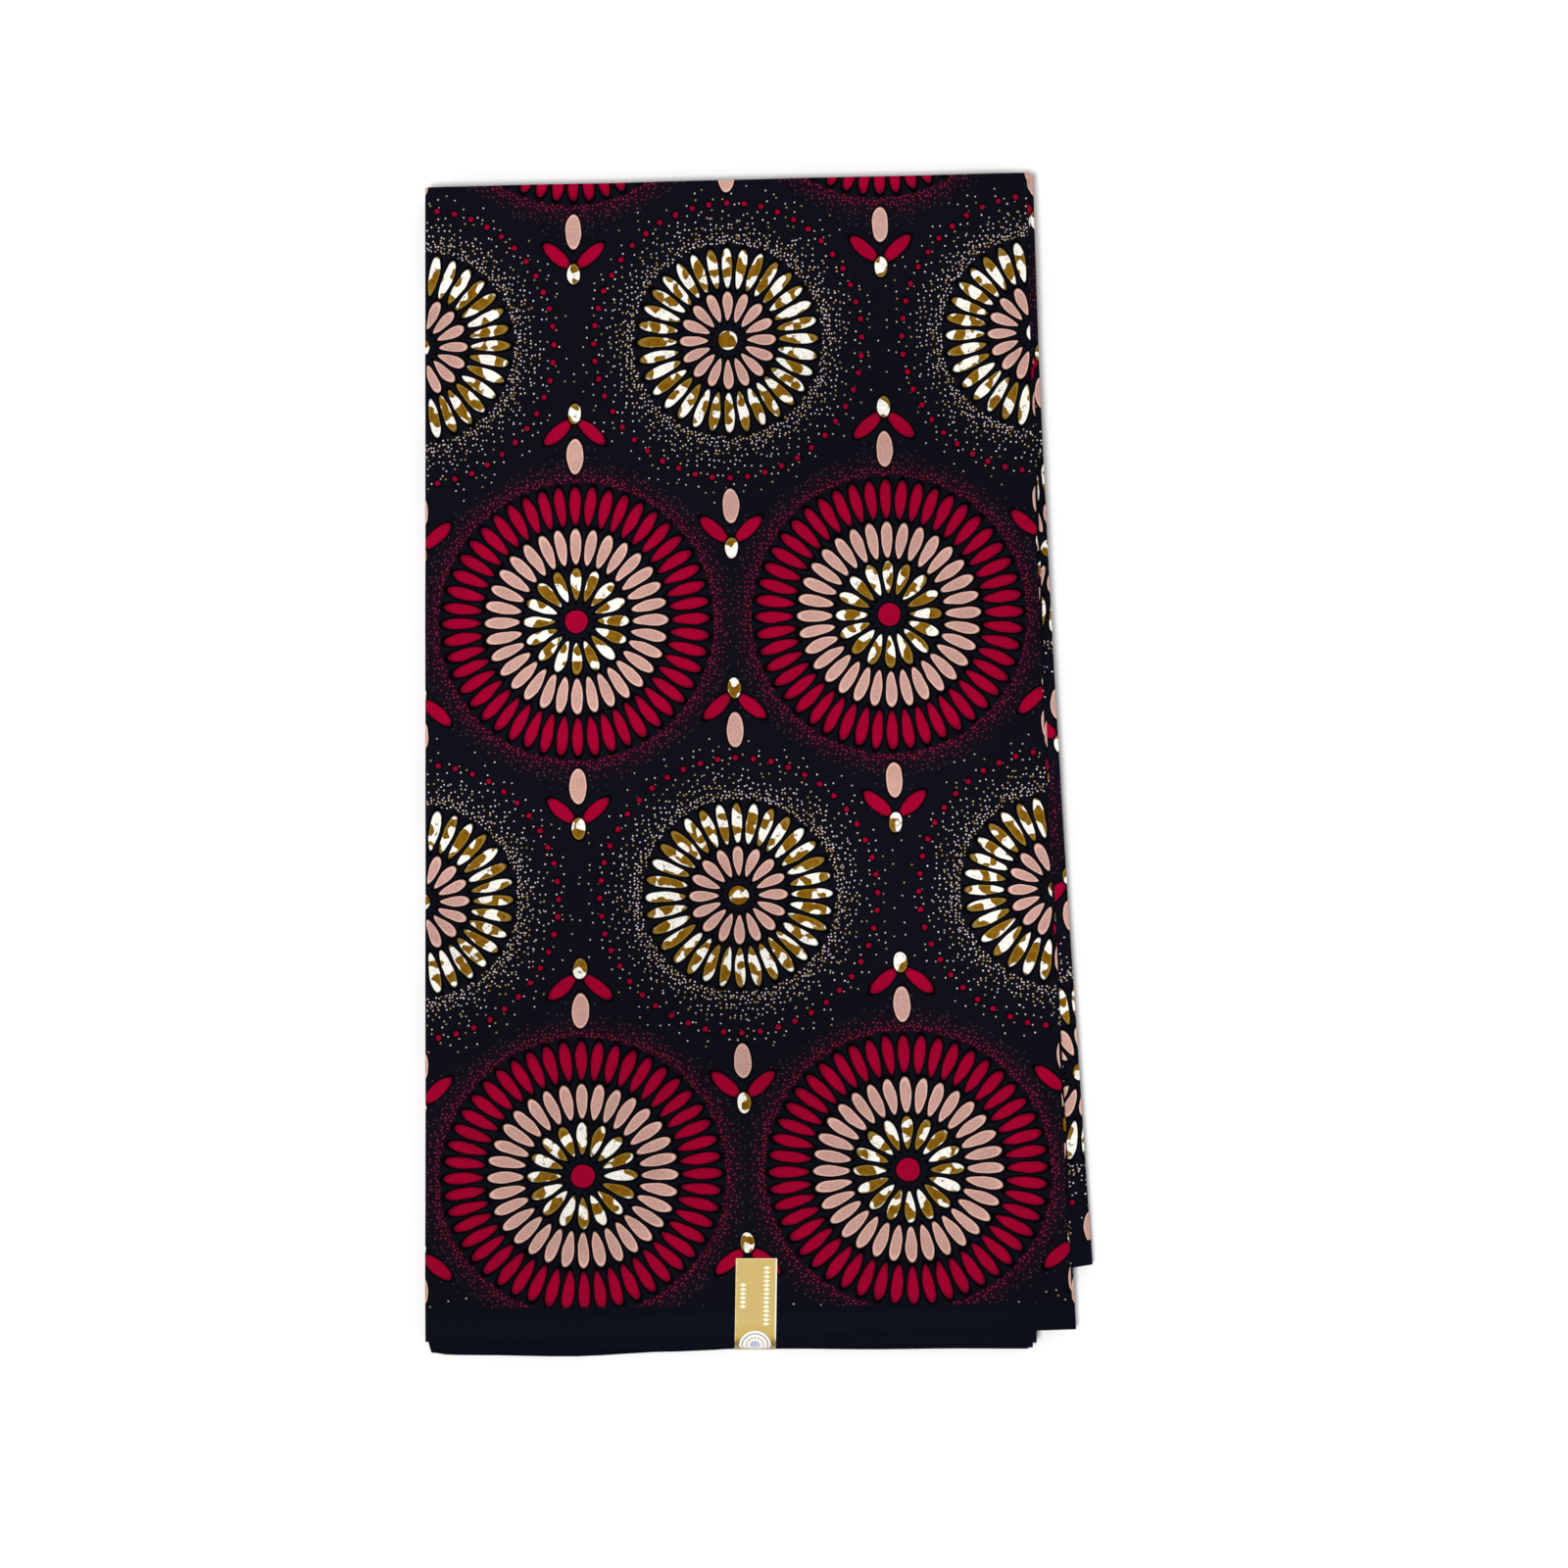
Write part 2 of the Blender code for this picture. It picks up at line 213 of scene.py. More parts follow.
# The front edges of the straight panels wander: share across the pack, and y
FRONT_WANDER = (
    (0.00, -0.2993),
    (0.03, -0.3004),
    (0.07, -0.3006),
    (0.22, -0.3013),
    (0.42, -0.2988),
    (0.50, -0.2975),
    (0.62, -0.2974),
    (0.75, -0.2976),
    (0.90, -0.2972),
    (1.00, -0.2974),
)


def wandering(rows: Sequence[Pair]) -> Line:
    """A side's line, eased from row to row of a table.

    Args:
        rows: Pairs of a share of the side and a place.

    Returns:
        The line.
    """
    def line(share: float) -> float:
        """The line's place.

        Args:
            share: A share of the side.

        Returns:
            The place.
        """
        for (share_a, place_a), (share_b, place_b) in zip(rows, rows[1:]):
            if share <= share_b:
                turn = (share - share_a) / (share_b - share_a)
                return blend(place_a, place_b, come_round(math.pi * turn))
        return rows[-1][1]
    return line


@dataclass(frozen=True)
class Loop:
    """One fold or free edge on a side of a stack, and how far it stands out from the side's line."""

    layers: int
    out: float = 0.0
    swing: float = 0.0

    def reach(self, share: float) -> float:
        """How far it stands out at a share of the side."""
        return self.out + self.swing * max(0.0, share) ** SWING_POWER


@dataclass(frozen=True)
class Side:
    """One side of a stack: the line that it keeps to, and its loops from the lowest up."""

    line: Line
    loops: Sequence[Loop]

    def loop_at(self, layer: int) -> tuple[int, Loop]:
        """The loop that holds a layer of the stack.

        Args:
            layer: The layer's number from the bottom of the stack, two to a panel.

        Returns:
            The loop's number and the loop.
        """
        number = 0
        while layer >= self.loops[number].layers:
            layer -= self.loops[number].layers
            number += 1
        return number, self.loops[number]


# The core's folds from the lowest up
CORE_LEFT_FOLDS = (
    Loop(4, -0.0003), Loop(4, 0.0004), Loop(4, -0.0006), Loop(4, 0.0001),
    Loop(4, 0.0005), Loop(4, -0.0002), Loop(2, 0.0003),
)
CORE_RIGHT_FOLDS = (
    Loop(2, 0.0002, -0.0004), Loop(4, -0.0005, 0.0003), Loop(4, 0.0004, 0.0000), Loop(4, -0.0002, 0.0008),
    Loop(4, 0.0003, 0.0012), Loop(4, -0.0004, 0.0037), Loop(4, 0.0002, 0.0050),
)
# Its panels' centre folds, at the back
CORE_BACK_FOLDS = tuple(Loop(2, out, swing) for out, swing in (
    (0.0004, -0.0006), (-0.0003, 0.0002), (0.0007, -0.0004), (0.0000, 0.0006), (-0.0006, 0.0004),
    (0.0005, -0.0003), (0.0002, 0.0005), (-0.0005, 0.0009), (0.0006, 0.0002), (0.0001, 0.0010),
    (0.0008, 0.0006), (0.0003, 0.0016), (0.0009, 0.0024),
))
# Its panels' selvedges, at the front, two to a panel
CORE_FRONT_EDGES = tuple(Loop(1, out, swing) for out, swing in (
    (0.0012, 0.0002), (0.0006, 0.0003), (0.0011, -0.0004), (0.0004, 0.0001), (-0.0002, 0.0006),
    (0.0002, -0.0002), (0.0003, -0.0006), (-0.0006, 0.0003), (-0.0002, -0.0003), (-0.0011, 0.0004),
    (-0.0005, -0.0004), (-0.0002, -0.0008), (-0.0010, 0.0000), (-0.0005, -0.0005), (-0.0014, 0.0004),
    (-0.0008, -0.0004), (-0.0003, -0.0005), (-0.0011, -0.0003), (-0.0006, 0.0012), (-0.0013, -0.0004),
    (-0.0007, 0.0002), (-0.0012, 0.0017), (-0.0009, -0.0010), (-0.0016, -0.0009), (-0.0012, -0.0012),
    (-0.0019, -0.0001),
))


def sink(x: float, y: float) -> float:
    """How far the top of the core settles at a place, and what hangs past its sides."""
    inside = (x - CORE_LEFT_BACK, CORE_RIGHT - x, y - CORE_FRONT, CORE_BACK - y)
    return sum(max(0.0, SETTLE_START - distance) ** 2 for distance in inside) / (2.0 * SETTLE_RADIUS)


def over_paper(x: float, y: float) -> float:
    """How far the lowest cloth rises over the paper under it.

    Args:
        x: The place from left to right.
        y: The place from front to back.

    Returns:
        The rise.
    """
    aside = (abs(x - BAND_MIDDLE) - BAND_WIDTH / 2.0 - PAPER_LIFT_PAST) / PAPER_LIFT_FADE
    behind = (y - BAND_UNDER_BACK - PAPER_LIFT_PAST) / PAPER_LIFT_FADE
    return PAPER_LIFT * (1.0 - ease(aside)) * (1.0 - ease(behind))


def settled(x: float, y: float, z: float) -> float:
    """A height in the pack after it has settled most at its top and risen most at its foot."""
    share = min(1.0, z / CORE_TOP)
    return z - sink(x, y) * share + over_paper(x, y) * (1.0 - share)


def fan_front(x: float) -> float:
    """The front edge of the fanned fold at a place across the pack."""
    return swung(FAN_FRONT_LEFT, FAN_FRONT_RIGHT)(clamp((x - FAN_LEFT) / (FAN_RIGHT_FRONT - FAN_LEFT)))


def over_fan(x: float, y: float, z: float) -> float:
    """A height of the top panel, which comes down to the core past the fanned fold's front edge."""
    past = (fan_front(x) - FAN_EDGE_CLEAR - y) / FAN_EDGE_RAMP
    return settled(x, y, z) - ease(past) * (FAN_HEIGHT + GAP)


@dataclass(frozen=True)
class Crease:
    """A soft ridge or trough in the cloth, straight in plan and faded at its ends.

    Args:
        start: Where it begins, in x and y.
        end: Where it ends.
        width: How far it reaches to each side.
        height: Above the cloth round it, or below it for a trough.
    """

    start: Pair
    end: Pair
    width: float
    height: float

    def lift(self, x: float, y: float) -> float:
        """How far it lifts the cloth.

        Args:
            x: The place from left to right.
            y: The place from front to back.

        Returns:
            The lift, below 0 in a trough.
        """
        run = Vector(self.end) - Vector(self.start)
        place = Vector((x, y)) - Vector(self.start)
        share = place.dot(run) / run.length_squared
        if not 0.0 < share < 1.0:
            return 0.0
        aside = abs(run.x * place.y - run.y * place.x) / run.length
        if aside >= self.width:
            return 0.0
        across = 0.5 + 0.5 * math.cos(math.pi * aside / self.width)
        return self.height * across * math.sin(math.pi * share)


# Creases from the packing: the long ones run with the folds
CREASES = (
    Crease((-0.118, -0.235), (-0.109, 0.130), 0.012, 0.00048),
    Crease((-0.052, 0.020), (-0.061, 0.285), 0.016, -0.00040),
    Crease((0.046, -0.190), (0.052, 0.075), 0.011, 0.00044),
    Crease((0.098, -0.060), (0.088, 0.262), 0.017, -0.00038),
    Crease((-0.164, 0.092), (-0.020, 0.078), 0.010, 0.00034),
    Crease((0.005, -0.084), (0.130, -0.098), 0.012, 0.00038),
    Crease((-0.150, -0.152), (-0.072, -0.212), 0.009, -0.00032),
    Crease((0.030, 0.205), (0.118, 0.232), 0.010, 0.00034),
)
SWELL = 0.00055             # height of the cloth's long, low swells
SWELL_LENGTH = 0.105
DRAPE_WAVE = 0.0022         # height of the waves in what hangs past the right side
DRAPE_LENGTH = 0.085
DRAPE_REACH = 0.034         # how far out they have that height
DRAPE_POWER = 1.5           # how fast they grow towards it
EDGE_WAVE = 0.00022         # how far folds and edges wander in plan
EDGE_WAVE_LENGTH = 0.048
BAND_HOLDS = 0.030          # to this distance from the band, the edges lie still

# Where in the noise the swells, the hanging waves and each fold's or edge's own wave are read
SWELL_SLICE = 0.31
DRAPE_SLICE = (0.4, 2.7)
EDGE_SLICE = 0.83
EDGE_ROW_STEP = 3.7         # from one row of the noise to the next
SIDE_ROWS = 40              # the left side's rows start about this far below 0, the right side's above
LOOP_ROWS = 7               # from one loop to the next on those sides
FRONT_ROWS = 200            # the front's first row
BACK_ROWS = 300             # the back's first row


def relief(x: float, y: float, z: float) -> float:
    """How far creases and swells lift the cloth, most at the top of the pack.

    Args:
        x: The place from left to right.
        y: The place from front to back.
        z: Its height in the pack.

    Returns:
        The lift.
    """
    swell = noise.noise(Vector((x / SWELL_LENGTH, y / SWELL_LENGTH, SWELL_SLICE))) * SWELL
    hanging = max(0.0, (x - CORE_RIGHT) / DRAPE_REACH) ** DRAPE_POWER
    drape = noise.noise(Vector((DRAPE_SLICE[0], y / DRAPE_LENGTH, DRAPE_SLICE[1]))) * DRAPE_WAVE * hanging
    lift = swell + drape + sum(crease.lift(x, y) for crease in CREASES)
    return lift * min(1.0, z / PACK_TOP) ** 2


def edge_wave(row: int, place: float, loose: float = 1.0) -> float:
    """How far outwards a fold or edge wanders from its line.

    Args:
        row: The row of the noise, one for each fold or edge.
        place: Along the edge.
        loose: Less where something holds the edge.

    Returns:
        The distance.
    """
    spot = Vector((place / EDGE_WAVE_LENGTH, row * EDGE_ROW_STEP, EDGE_SLICE))
    return noise.noise(spot) * EDGE_WAVE * loose


@dataclass(frozen=True)
class Stack:
    """Doubled panels that lie on each other."""

    bottom: float
    pitch: float
    panels: int
    left: Side
    right: Side
    front: Side
    back: Side
    lower: Lower            # gives a place's height after settling


# Lines that the straight panels' sides keep to
LEFT_LINE = straight(CORE_LEFT_BACK, CORE_LEFT_FRONT)
RIGHT_LINE = straight(CORE_RIGHT, CORE_RIGHT)
FRONT_LINE = wandering(FRONT_WANDER)
BACK_LINE = straight(CORE_BACK, CORE_BACK)

BASE = Stack(
    bottom=0.0, pitch=PANEL_PITCH, panels=BASE_PANELS, lower=settled,
    left=Side(LEFT_LINE, (Loop(4, 0.0001),)),
    right=Side(RIGHT_LINE, (Loop(1, -0.0006, 0.0012), Loop(1, 0.0004, 0.0011), Loop(2, 0.0001, 0.0014))),
    front=Side(FRONT_LINE, (Loop(1, 0.0015), Loop(1, 0.0014), Loop(1, 0.0017), Loop(1, 0.0009))),
    back=Side(BACK_LINE, (Loop(2, 0.0003), Loop(2, -0.0004, 0.0008))),
)
CORE = Stack(
    bottom=CORE_BOTTOM, pitch=PANEL_PITCH, panels=CORE_PANELS, lower=settled,
    left=Side(LEFT_LINE, CORE_LEFT_FOLDS),
    right=Side(RIGHT_LINE, CORE_RIGHT_FOLDS),
    front=Side(FRONT_LINE, CORE_FRONT_EDGES),
    back=Side(BACK_LINE, CORE_BACK_FOLDS),
)
FAN = Stack(
    bottom=FAN_BOTTOM, pitch=PANEL_PITCH, panels=FAN_PANELS, lower=settled,
    left=Side(straight(FAN_LEFT, FAN_LEFT), (Loop(2, -0.0012), Loop(2))),
    right=Side(swung(FAN_RIGHT_BACK, FAN_RIGHT_FRONT), (Loop(4),)),
    front=Side(
        swung(FAN_FRONT_LEFT, FAN_FRONT_RIGHT),
        (Loop(1, -0.0011), Loop(1, -0.0004), Loop(1, -0.0008), Loop(1)),
    ),
    back=Side(straight(FAN_BACK_LEFT, FAN_BACK_RIGHT), (Loop(2, -0.0016), Loop(2))),
)
TOP = Stack(
    bottom=TOP_BOTTOM, pitch=TOP_PITCH, panels=1, lower=over_fan,
    left=Side(straight(TOP_LEFT, TOP_LEFT), (Loop(2),)),
    right=Side(swung(TOP_RIGHT_BACK, TOP_RIGHT_FRONT), (Loop(1), Loop(1, -0.0012))),
    front=Side(straight(TOP_FRONT_LEFT, TOP_FRONT_RIGHT), (Loop(1, 0.0004), Loop(1))),
    back=Side(straight(TOP_BACK_LEFT, TOP_BACK_RIGHT), (Loop(2),)),
)


@dataclass(frozen=True)
class Across:
    """A place across the cloth: on its first layer, round the centre fold, or on its second layer."""

    share: float            # of the panel's length, from the front
    turn: float = 0.0       # round the centre fold: 0 on the first layer, pi on the second


@dataclass(frozen=True)
class Panel:
    """One doubled panel of the folded cloth."""

    number: int             # from the table up, starting at 1
    stack: Stack
    level: int              # from the bottom of its stack, starting at 0

    @property
    def way(self) -> Way:
        """Even panels run to the right, and odd ones back to the left."""
        return Way.RIGHT if self.number % 2 == 0 else Way.LEFT

    @property
    def height(self) -> float:
        """The middle of the panel, before it settles."""
        return self.stack.bottom + (self.level + 0.5) * self.stack.pitch

    def layer(self, first: bool) -> int:
        """The number in its stack of the panel's first or second layer across the cloth's width."""
        upper = first == (self.way is Way.RIGHT)
        return 2 * self.level + (1 if upper else 0)

    def fold_radius(self, side: Way) -> float:
        """The radius of the fold on one side.

        Args:
            side: Left or right.

        Returns:
            The radius, or 0 at a cut end.
        """
        step = 1 if side is self.way else -1
        other = self.number - 1 + step
        if not 0 <= other < len(PANELS):
            return 0.0
        return abs(PANELS[other].height - self.height) / 2.0

    def end(self, side: Way, layer: int, share: float) -> float:
        """Where the flat part ends on one side, in x.

        Args:
            side: Left or right.
            layer: The layer's number in its stack.
            share: Along the side, 0 at the back.

        Returns:
            The x of the fold's middle, or of the cut edge.
        """
        edge = self.stack.left if side is Way.LEFT else self.stack.right
        number, loop = edge.loop_at(layer)
        row = SIDE_ROWS * side.value + LOOP_ROWS * number + self.stack.panels
        reach = loop.reach(share) + edge_wave(row, share * PANEL_LENGTH)
        radius = self.fold_radius(side)
        if radius:
            reach -= radius + FACE_OFFSET
        return edge.line(share) + side.value * reach

    def layer_place(self, layer: int, from_front: float, share: float) -> Vector:
        """A place on the middle of the panel, between the ends that one of its layers has.

        Args:
            layer: The layer's number in its stack.
            from_front: A share of the panel's length.
            share: A share of its width, from the left.

        Returns:
            The place, before it settles.
        """
        from_back = 1.0 - from_front
        x = blend(self.end(Way.LEFT, layer, from_back), self.end(Way.RIGHT, layer, from_back), share)
        front_row, front_loop = self.stack.front.loop_at(layer)
        back_row, back_loop = self.stack.back.loop_at(layer)
        loose = ease((abs(x - BAND_MIDDLE) - BAND_WIDTH / 2.0) / BAND_HOLDS)
        front_wave = edge_wave(FRONT_ROWS + front_row, x, loose)
        back_wave = edge_wave(BACK_ROWS + back_row, x)
        front = self.stack.front.line(share) - front_loop.reach(share) - front_wave
        back = self.stack.back.line(share) + back_loop.reach(share) + back_wave - FACE_OFFSET
        return Vector((x, blend(front, back, from_front), self.height))

    def place(self, across: Across, share: float) -> Vector:
        """A place on the middle of the panel, before it settles."""
        first, second = (self.layer_place(self.layer(own), across.share, share) for own in (True, False))
        return first.lerp(second, come_round(across.turn))


PANELS = tuple(
    Panel(number=number + 1, stack=stack, level=level)
    for number, (stack, level) in enumerate(
        (stack, level) for stack in (BASE, CORE, FAN, TOP) for level in range(stack.panels)
    )
)


@dataclass(frozen=True)
class Along:
    """A place along the cloth: on a panel, or part of the way round the fold up to the next one."""

    panel: Panel
    above: Panel
    share: float            # of the panel's width, from the left
    turn: float = 0.0       # round the fold, from 0 to pi

    def middle(self, across: Across) -> Vector:
        """A place half way between the cloth's two layers.

        Args:
            across: The place across the cloth.

        Returns:
            The place, before it settles.
        """
        low = self.panel.place(across, self.share)
        if not self.turn:
            return low
        high = self.above.place(across, self.share)
        spot = low.lerp(high, come_round(self.turn))
        spot.x += self.panel.way.value * math.sin(self.turn) * (high.z - low.z) / 2.0
        return spot

    def face(self, across: Across) -> Vector:
        """A place on the cloth's outer face, the one that faces away from its panel's middle.

        Args:
            across: The place across the cloth.

        Returns:
            The place in the settled pack.
        """
        normal = Vector((-math.sin(self.turn), 0.0, self.panel.way.value * math.cos(self.turn)))
        spot = self.middle(across) + normal * FACE_OFFSET * math.cos(across.turn)
        spot.y += FACE_OFFSET * math.sin(across.turn)
        low = self.panel.stack.lower(*spot)
        high = self.above.stack.lower(*spot)
        return Vector((spot.x, spot.y, blend(low, high, come_round(self.turn)) + relief(*spot)))


def spread(length: float, ends: Sequence[float], step: float) -> list[float]:
    """Shares of a length, close together at its ends.

    Args:
        length: The length in metres.
        ends: Distances from each of its ends.
        step: About how far apart the rest are.

    Returns:
        The shares, from 0 to 1.
    """
    first = ends[-1]
    last = length - ends[-1]
    steps = round((last - first) / step)
    places = list(ends) + [first + (last - first) * count / steps for count in range(1, steps)]
    places += [length - place for place in reversed(ends)]
    return [place / length for place in places]


def half_turn(steps: int) -> list[float]:
    """Angles inside a half turn."""
    return [math.pi * count / steps for count in range(1, steps)]


@dataclass
class FoldedCloth:
    """A stretch of the folded cloth: its panels and the fold that joins them to the panel below."""

    name: str
    stack: Stack
    step_across: float      # size of the mesh's cells on a panel
    step_along: float
    node: str               # the CAD node that it stands for
    rests_on: Sequence[str]
    fold_steps: int = 8
    edge_lines: Sequence[float] = (0.0, 0.0008, 0.002, 0.004, 0.007, 0.011, 0.016, 0.022)

    def panels(self) -> list[Panel]:
        """Its own panels, from the lowest up."""
        return [panel for panel in PANELS if panel.stack is self.stack]

    def along_places(self) -> tuple[list[Along], list[float]]:
        """Its places along the cloth in order.

        Returns:
            The places, and how far along the cloth each one is from the first.
        """
        places: list[Along] = []
        shares = spread(PANEL_WIDTH, self.edge_lines, self.step_across)
        for panel in self.panels():
            if panel.number > 1:
                below = PANELS[panel.number - 2]
                end = 1.0 if below.way is Way.RIGHT else 0.0
                turns = half_turn(self.fold_steps)
                if panel.level == 0:
                    turns = [0.0] + turns
                places += [Along(below, panel, end, turn) for turn in turns]
            run = shares if panel.way is Way.RIGHT else list(reversed(shares))
            places += [Along(panel, panel, share) for share in run]
        spots = [place.middle(Across(share=0.5)) for place in places]
        lengths = [0.0]
        for before, after in zip(spots, spots[1:]):
            lengths.append(lengths[-1] + (after - before).length)
        return places, lengths

    def across_places(self) -> list[tuple[Across, float]]:
        """Its places across the cloth in order.

        Returns:
            The places, each with how far across the cloth it is.
        """
        shares = spread(PANEL_LENGTH, self.edge_lines, self.step_along)
        first = [(Across(share), share * PANEL_LENGTH) for share in shares]
        turned = [(Across(1.0, turn), PANEL_LENGTH) for turn in half_turn(self.fold_steps)]
        second = [(Across(share, math.pi), CLOTH_WIDTH - share * PANEL_LENGTH) for share in reversed(shares)]
        return first + turned + second

    def build(self, start: float, finish: WaxPrint) -> tuple[bpy.types.Object, float]:
        """The cloth as a thin closed shell.

        Args:
            start: How far along the whole cloth this stretch starts.
            finish: The cotton's finish.

        Returns:
            The piece, and how far along the whole cloth it ends.
        """
        alongs, lengths = self.along_places()
        acrosses = self.across_places()
        columns = len(alongs) - 1
        rows = len(acrosses) - 1

        def lay(u: float, v: float) -> Laid:
            """Where a corner of the grid lies.

            Args:
                u: Its share along the cloth.
                v: Its share across the cloth.

            Returns:
                The place on the flat cloth, and the one in the pack.
            """
            column = round(u * columns)
            across, width_place = acrosses[round(v * rows)]
            return Vector((start + lengths[column], width_place, 0.0)), alongs[column].face(across)

        piece = grid_shell(self.name, columns, rows, CLOTH_THICKNESS, lay)
        finish.dress(piece)
        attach(piece, "root")
        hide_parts(self.node)
        flat_length = len(self.panels()) * CLOTH_LENGTH / len(PANELS)
        return piece, start + lengths[-1]


def placed(name: str, data: bpy.types.ID) -> bpy.types.Object:
    """A new object in the scene, at the origin.

    Args:
        name: Its name.
        data: Its mesh, lamp or camera.

    Returns:
        The object.
    """
    item = bpy.data.objects.new(name, data)
    bpy.context.scene.collection.objects.link(item)
    return item


def thin_shell(name: str, bm: bmesh.types.BMesh, thickness: float, maps: Sequence[str]) -> bpy.types.Object:
    """A closed shell from one face of it, with its maps read from layers of the same names.

    Args:
        name: The piece's name.
        bm: The mesh of its outer face, used up here.
        thickness: Of the shell, behind that face.
        maps: The names of vertex layers that become UV maps.

    Returns:
        The piece, shaded smooth but for its cut edges.
    """
    bm.normal_update()
    bmesh.ops.solidify(bm, geom=bm.faces[:], thickness=thickness)
    for map_name in maps:
        places = bm.verts.layers.float_vector[map_name]
        uv = bm.loops.layers.uv.new(map_name)
        for face in bm.faces:
            for corner in face.loops:
                corner[uv].uv = corner.vert[places].xy
    for map_name in maps:
        bm.verts.layers.float_vector.remove(bm.verts.layers.float_vector[map_name])
    mesh = bpy.data.meshes.new(name)
    bm.to_mesh(mesh)
    bm.free()
    mesh.shade_smooth()
    mesh.set_sharp_from_angle(angle=SHARP_ANGLE)
    return placed(name, mesh)


def grid_shell(
    name: str, columns: int, rows: int, thickness: float, lay: Callable[[float, float], Laid]
) -> bpy.types.Object:
    """A thin closed shell from a flat grid whose corners are each laid in place.

    Args:
        name: The piece's name.
        columns: Of the grid's cells.
        rows: Of the grid's cells.
        thickness: Of the shell.
        lay: Gives a corner's two places from its shares across and up the grid.

    Returns:
        The piece.
    """
    bm = bmesh.new()
    bmesh.ops.create_grid(bm, x_segments=columns, y_segments=rows, size=0.5)
    metres = bm.verts.layers.float_vector.new(CLOTH_MAP)
    grid = bm.verts.layers.float_vector.new(BAKE_MAP)
    for vert in bm.verts:
        u = vert.co.x + 0.5
        v = vert.co.y + 0.5
        vert[grid] = Vector((u, v, 0.0))
        vert[metres], vert.co = lay(u, v)
    return thin_shell(name, bm, thickness, (CLOTH_MAP, BAKE_MAP))


class Wire:
    """A value in a material, which Python's operators combine by adding nodes."""

    def __init__(self, graph: Graph, socket: bpy.types.NodeSocket) -> None:
        """A wire from a node's output."""
        self.graph = graph
        self.socket = socket

    def __add__(self, other: Wire | float) -> Wire:
        """The sum."""
        return self.graph.math("ADD", self, other)

    def __radd__(self, other: float) -> Wire:
        """The sum."""
        return self.graph.math("ADD", other, self)

    def __sub__(self, other: Wire | float) -> Wire:
        """The difference."""
        return self.graph.math("SUBTRACT", self, other)

    def __rsub__(self, other: float) -> Wire:
        """The difference."""
        return self.graph.math("SUBTRACT", other, self)

    def __mul__(self, other: Wire | float) -> Wire:
        """The product."""
        return self.graph.math("MULTIPLY", self, other)

    def __rmul__(self, other: float) -> Wire:
        """The product."""
        return self.graph.math("MULTIPLY", other, self)

    def __truediv__(self, other: Wire | float) -> Wire:
        """The quotient."""
        return self.graph.math("DIVIDE", self, other)

    def __abs__(self) -> Wire:
        """The size without its sign."""
        return self.graph.math("ABSOLUTE", self)


Shade = Wire | Colour       # a colour that varies over the piece, or one that doesn't
Ink = tuple[Shade, Shade]   # a printed shape's colour, and that of the rim inside its edge

# How many finer sizes a noise adds to its own, how strong they are, and its middle value
PLAIN_DETAIL = 1.0
FINE_DETAIL = 3.0
EVEN_GRAIN = 0.5
ROUGH_GRAIN = 0.6
NOISE_MIDDLE = 0.5

# The Mix node's sockets for colours, whose names its sockets for numbers have too
MIX_SHARE = 0
MIX_START = 6
MIX_END = 7
MIX_RESULT = 2


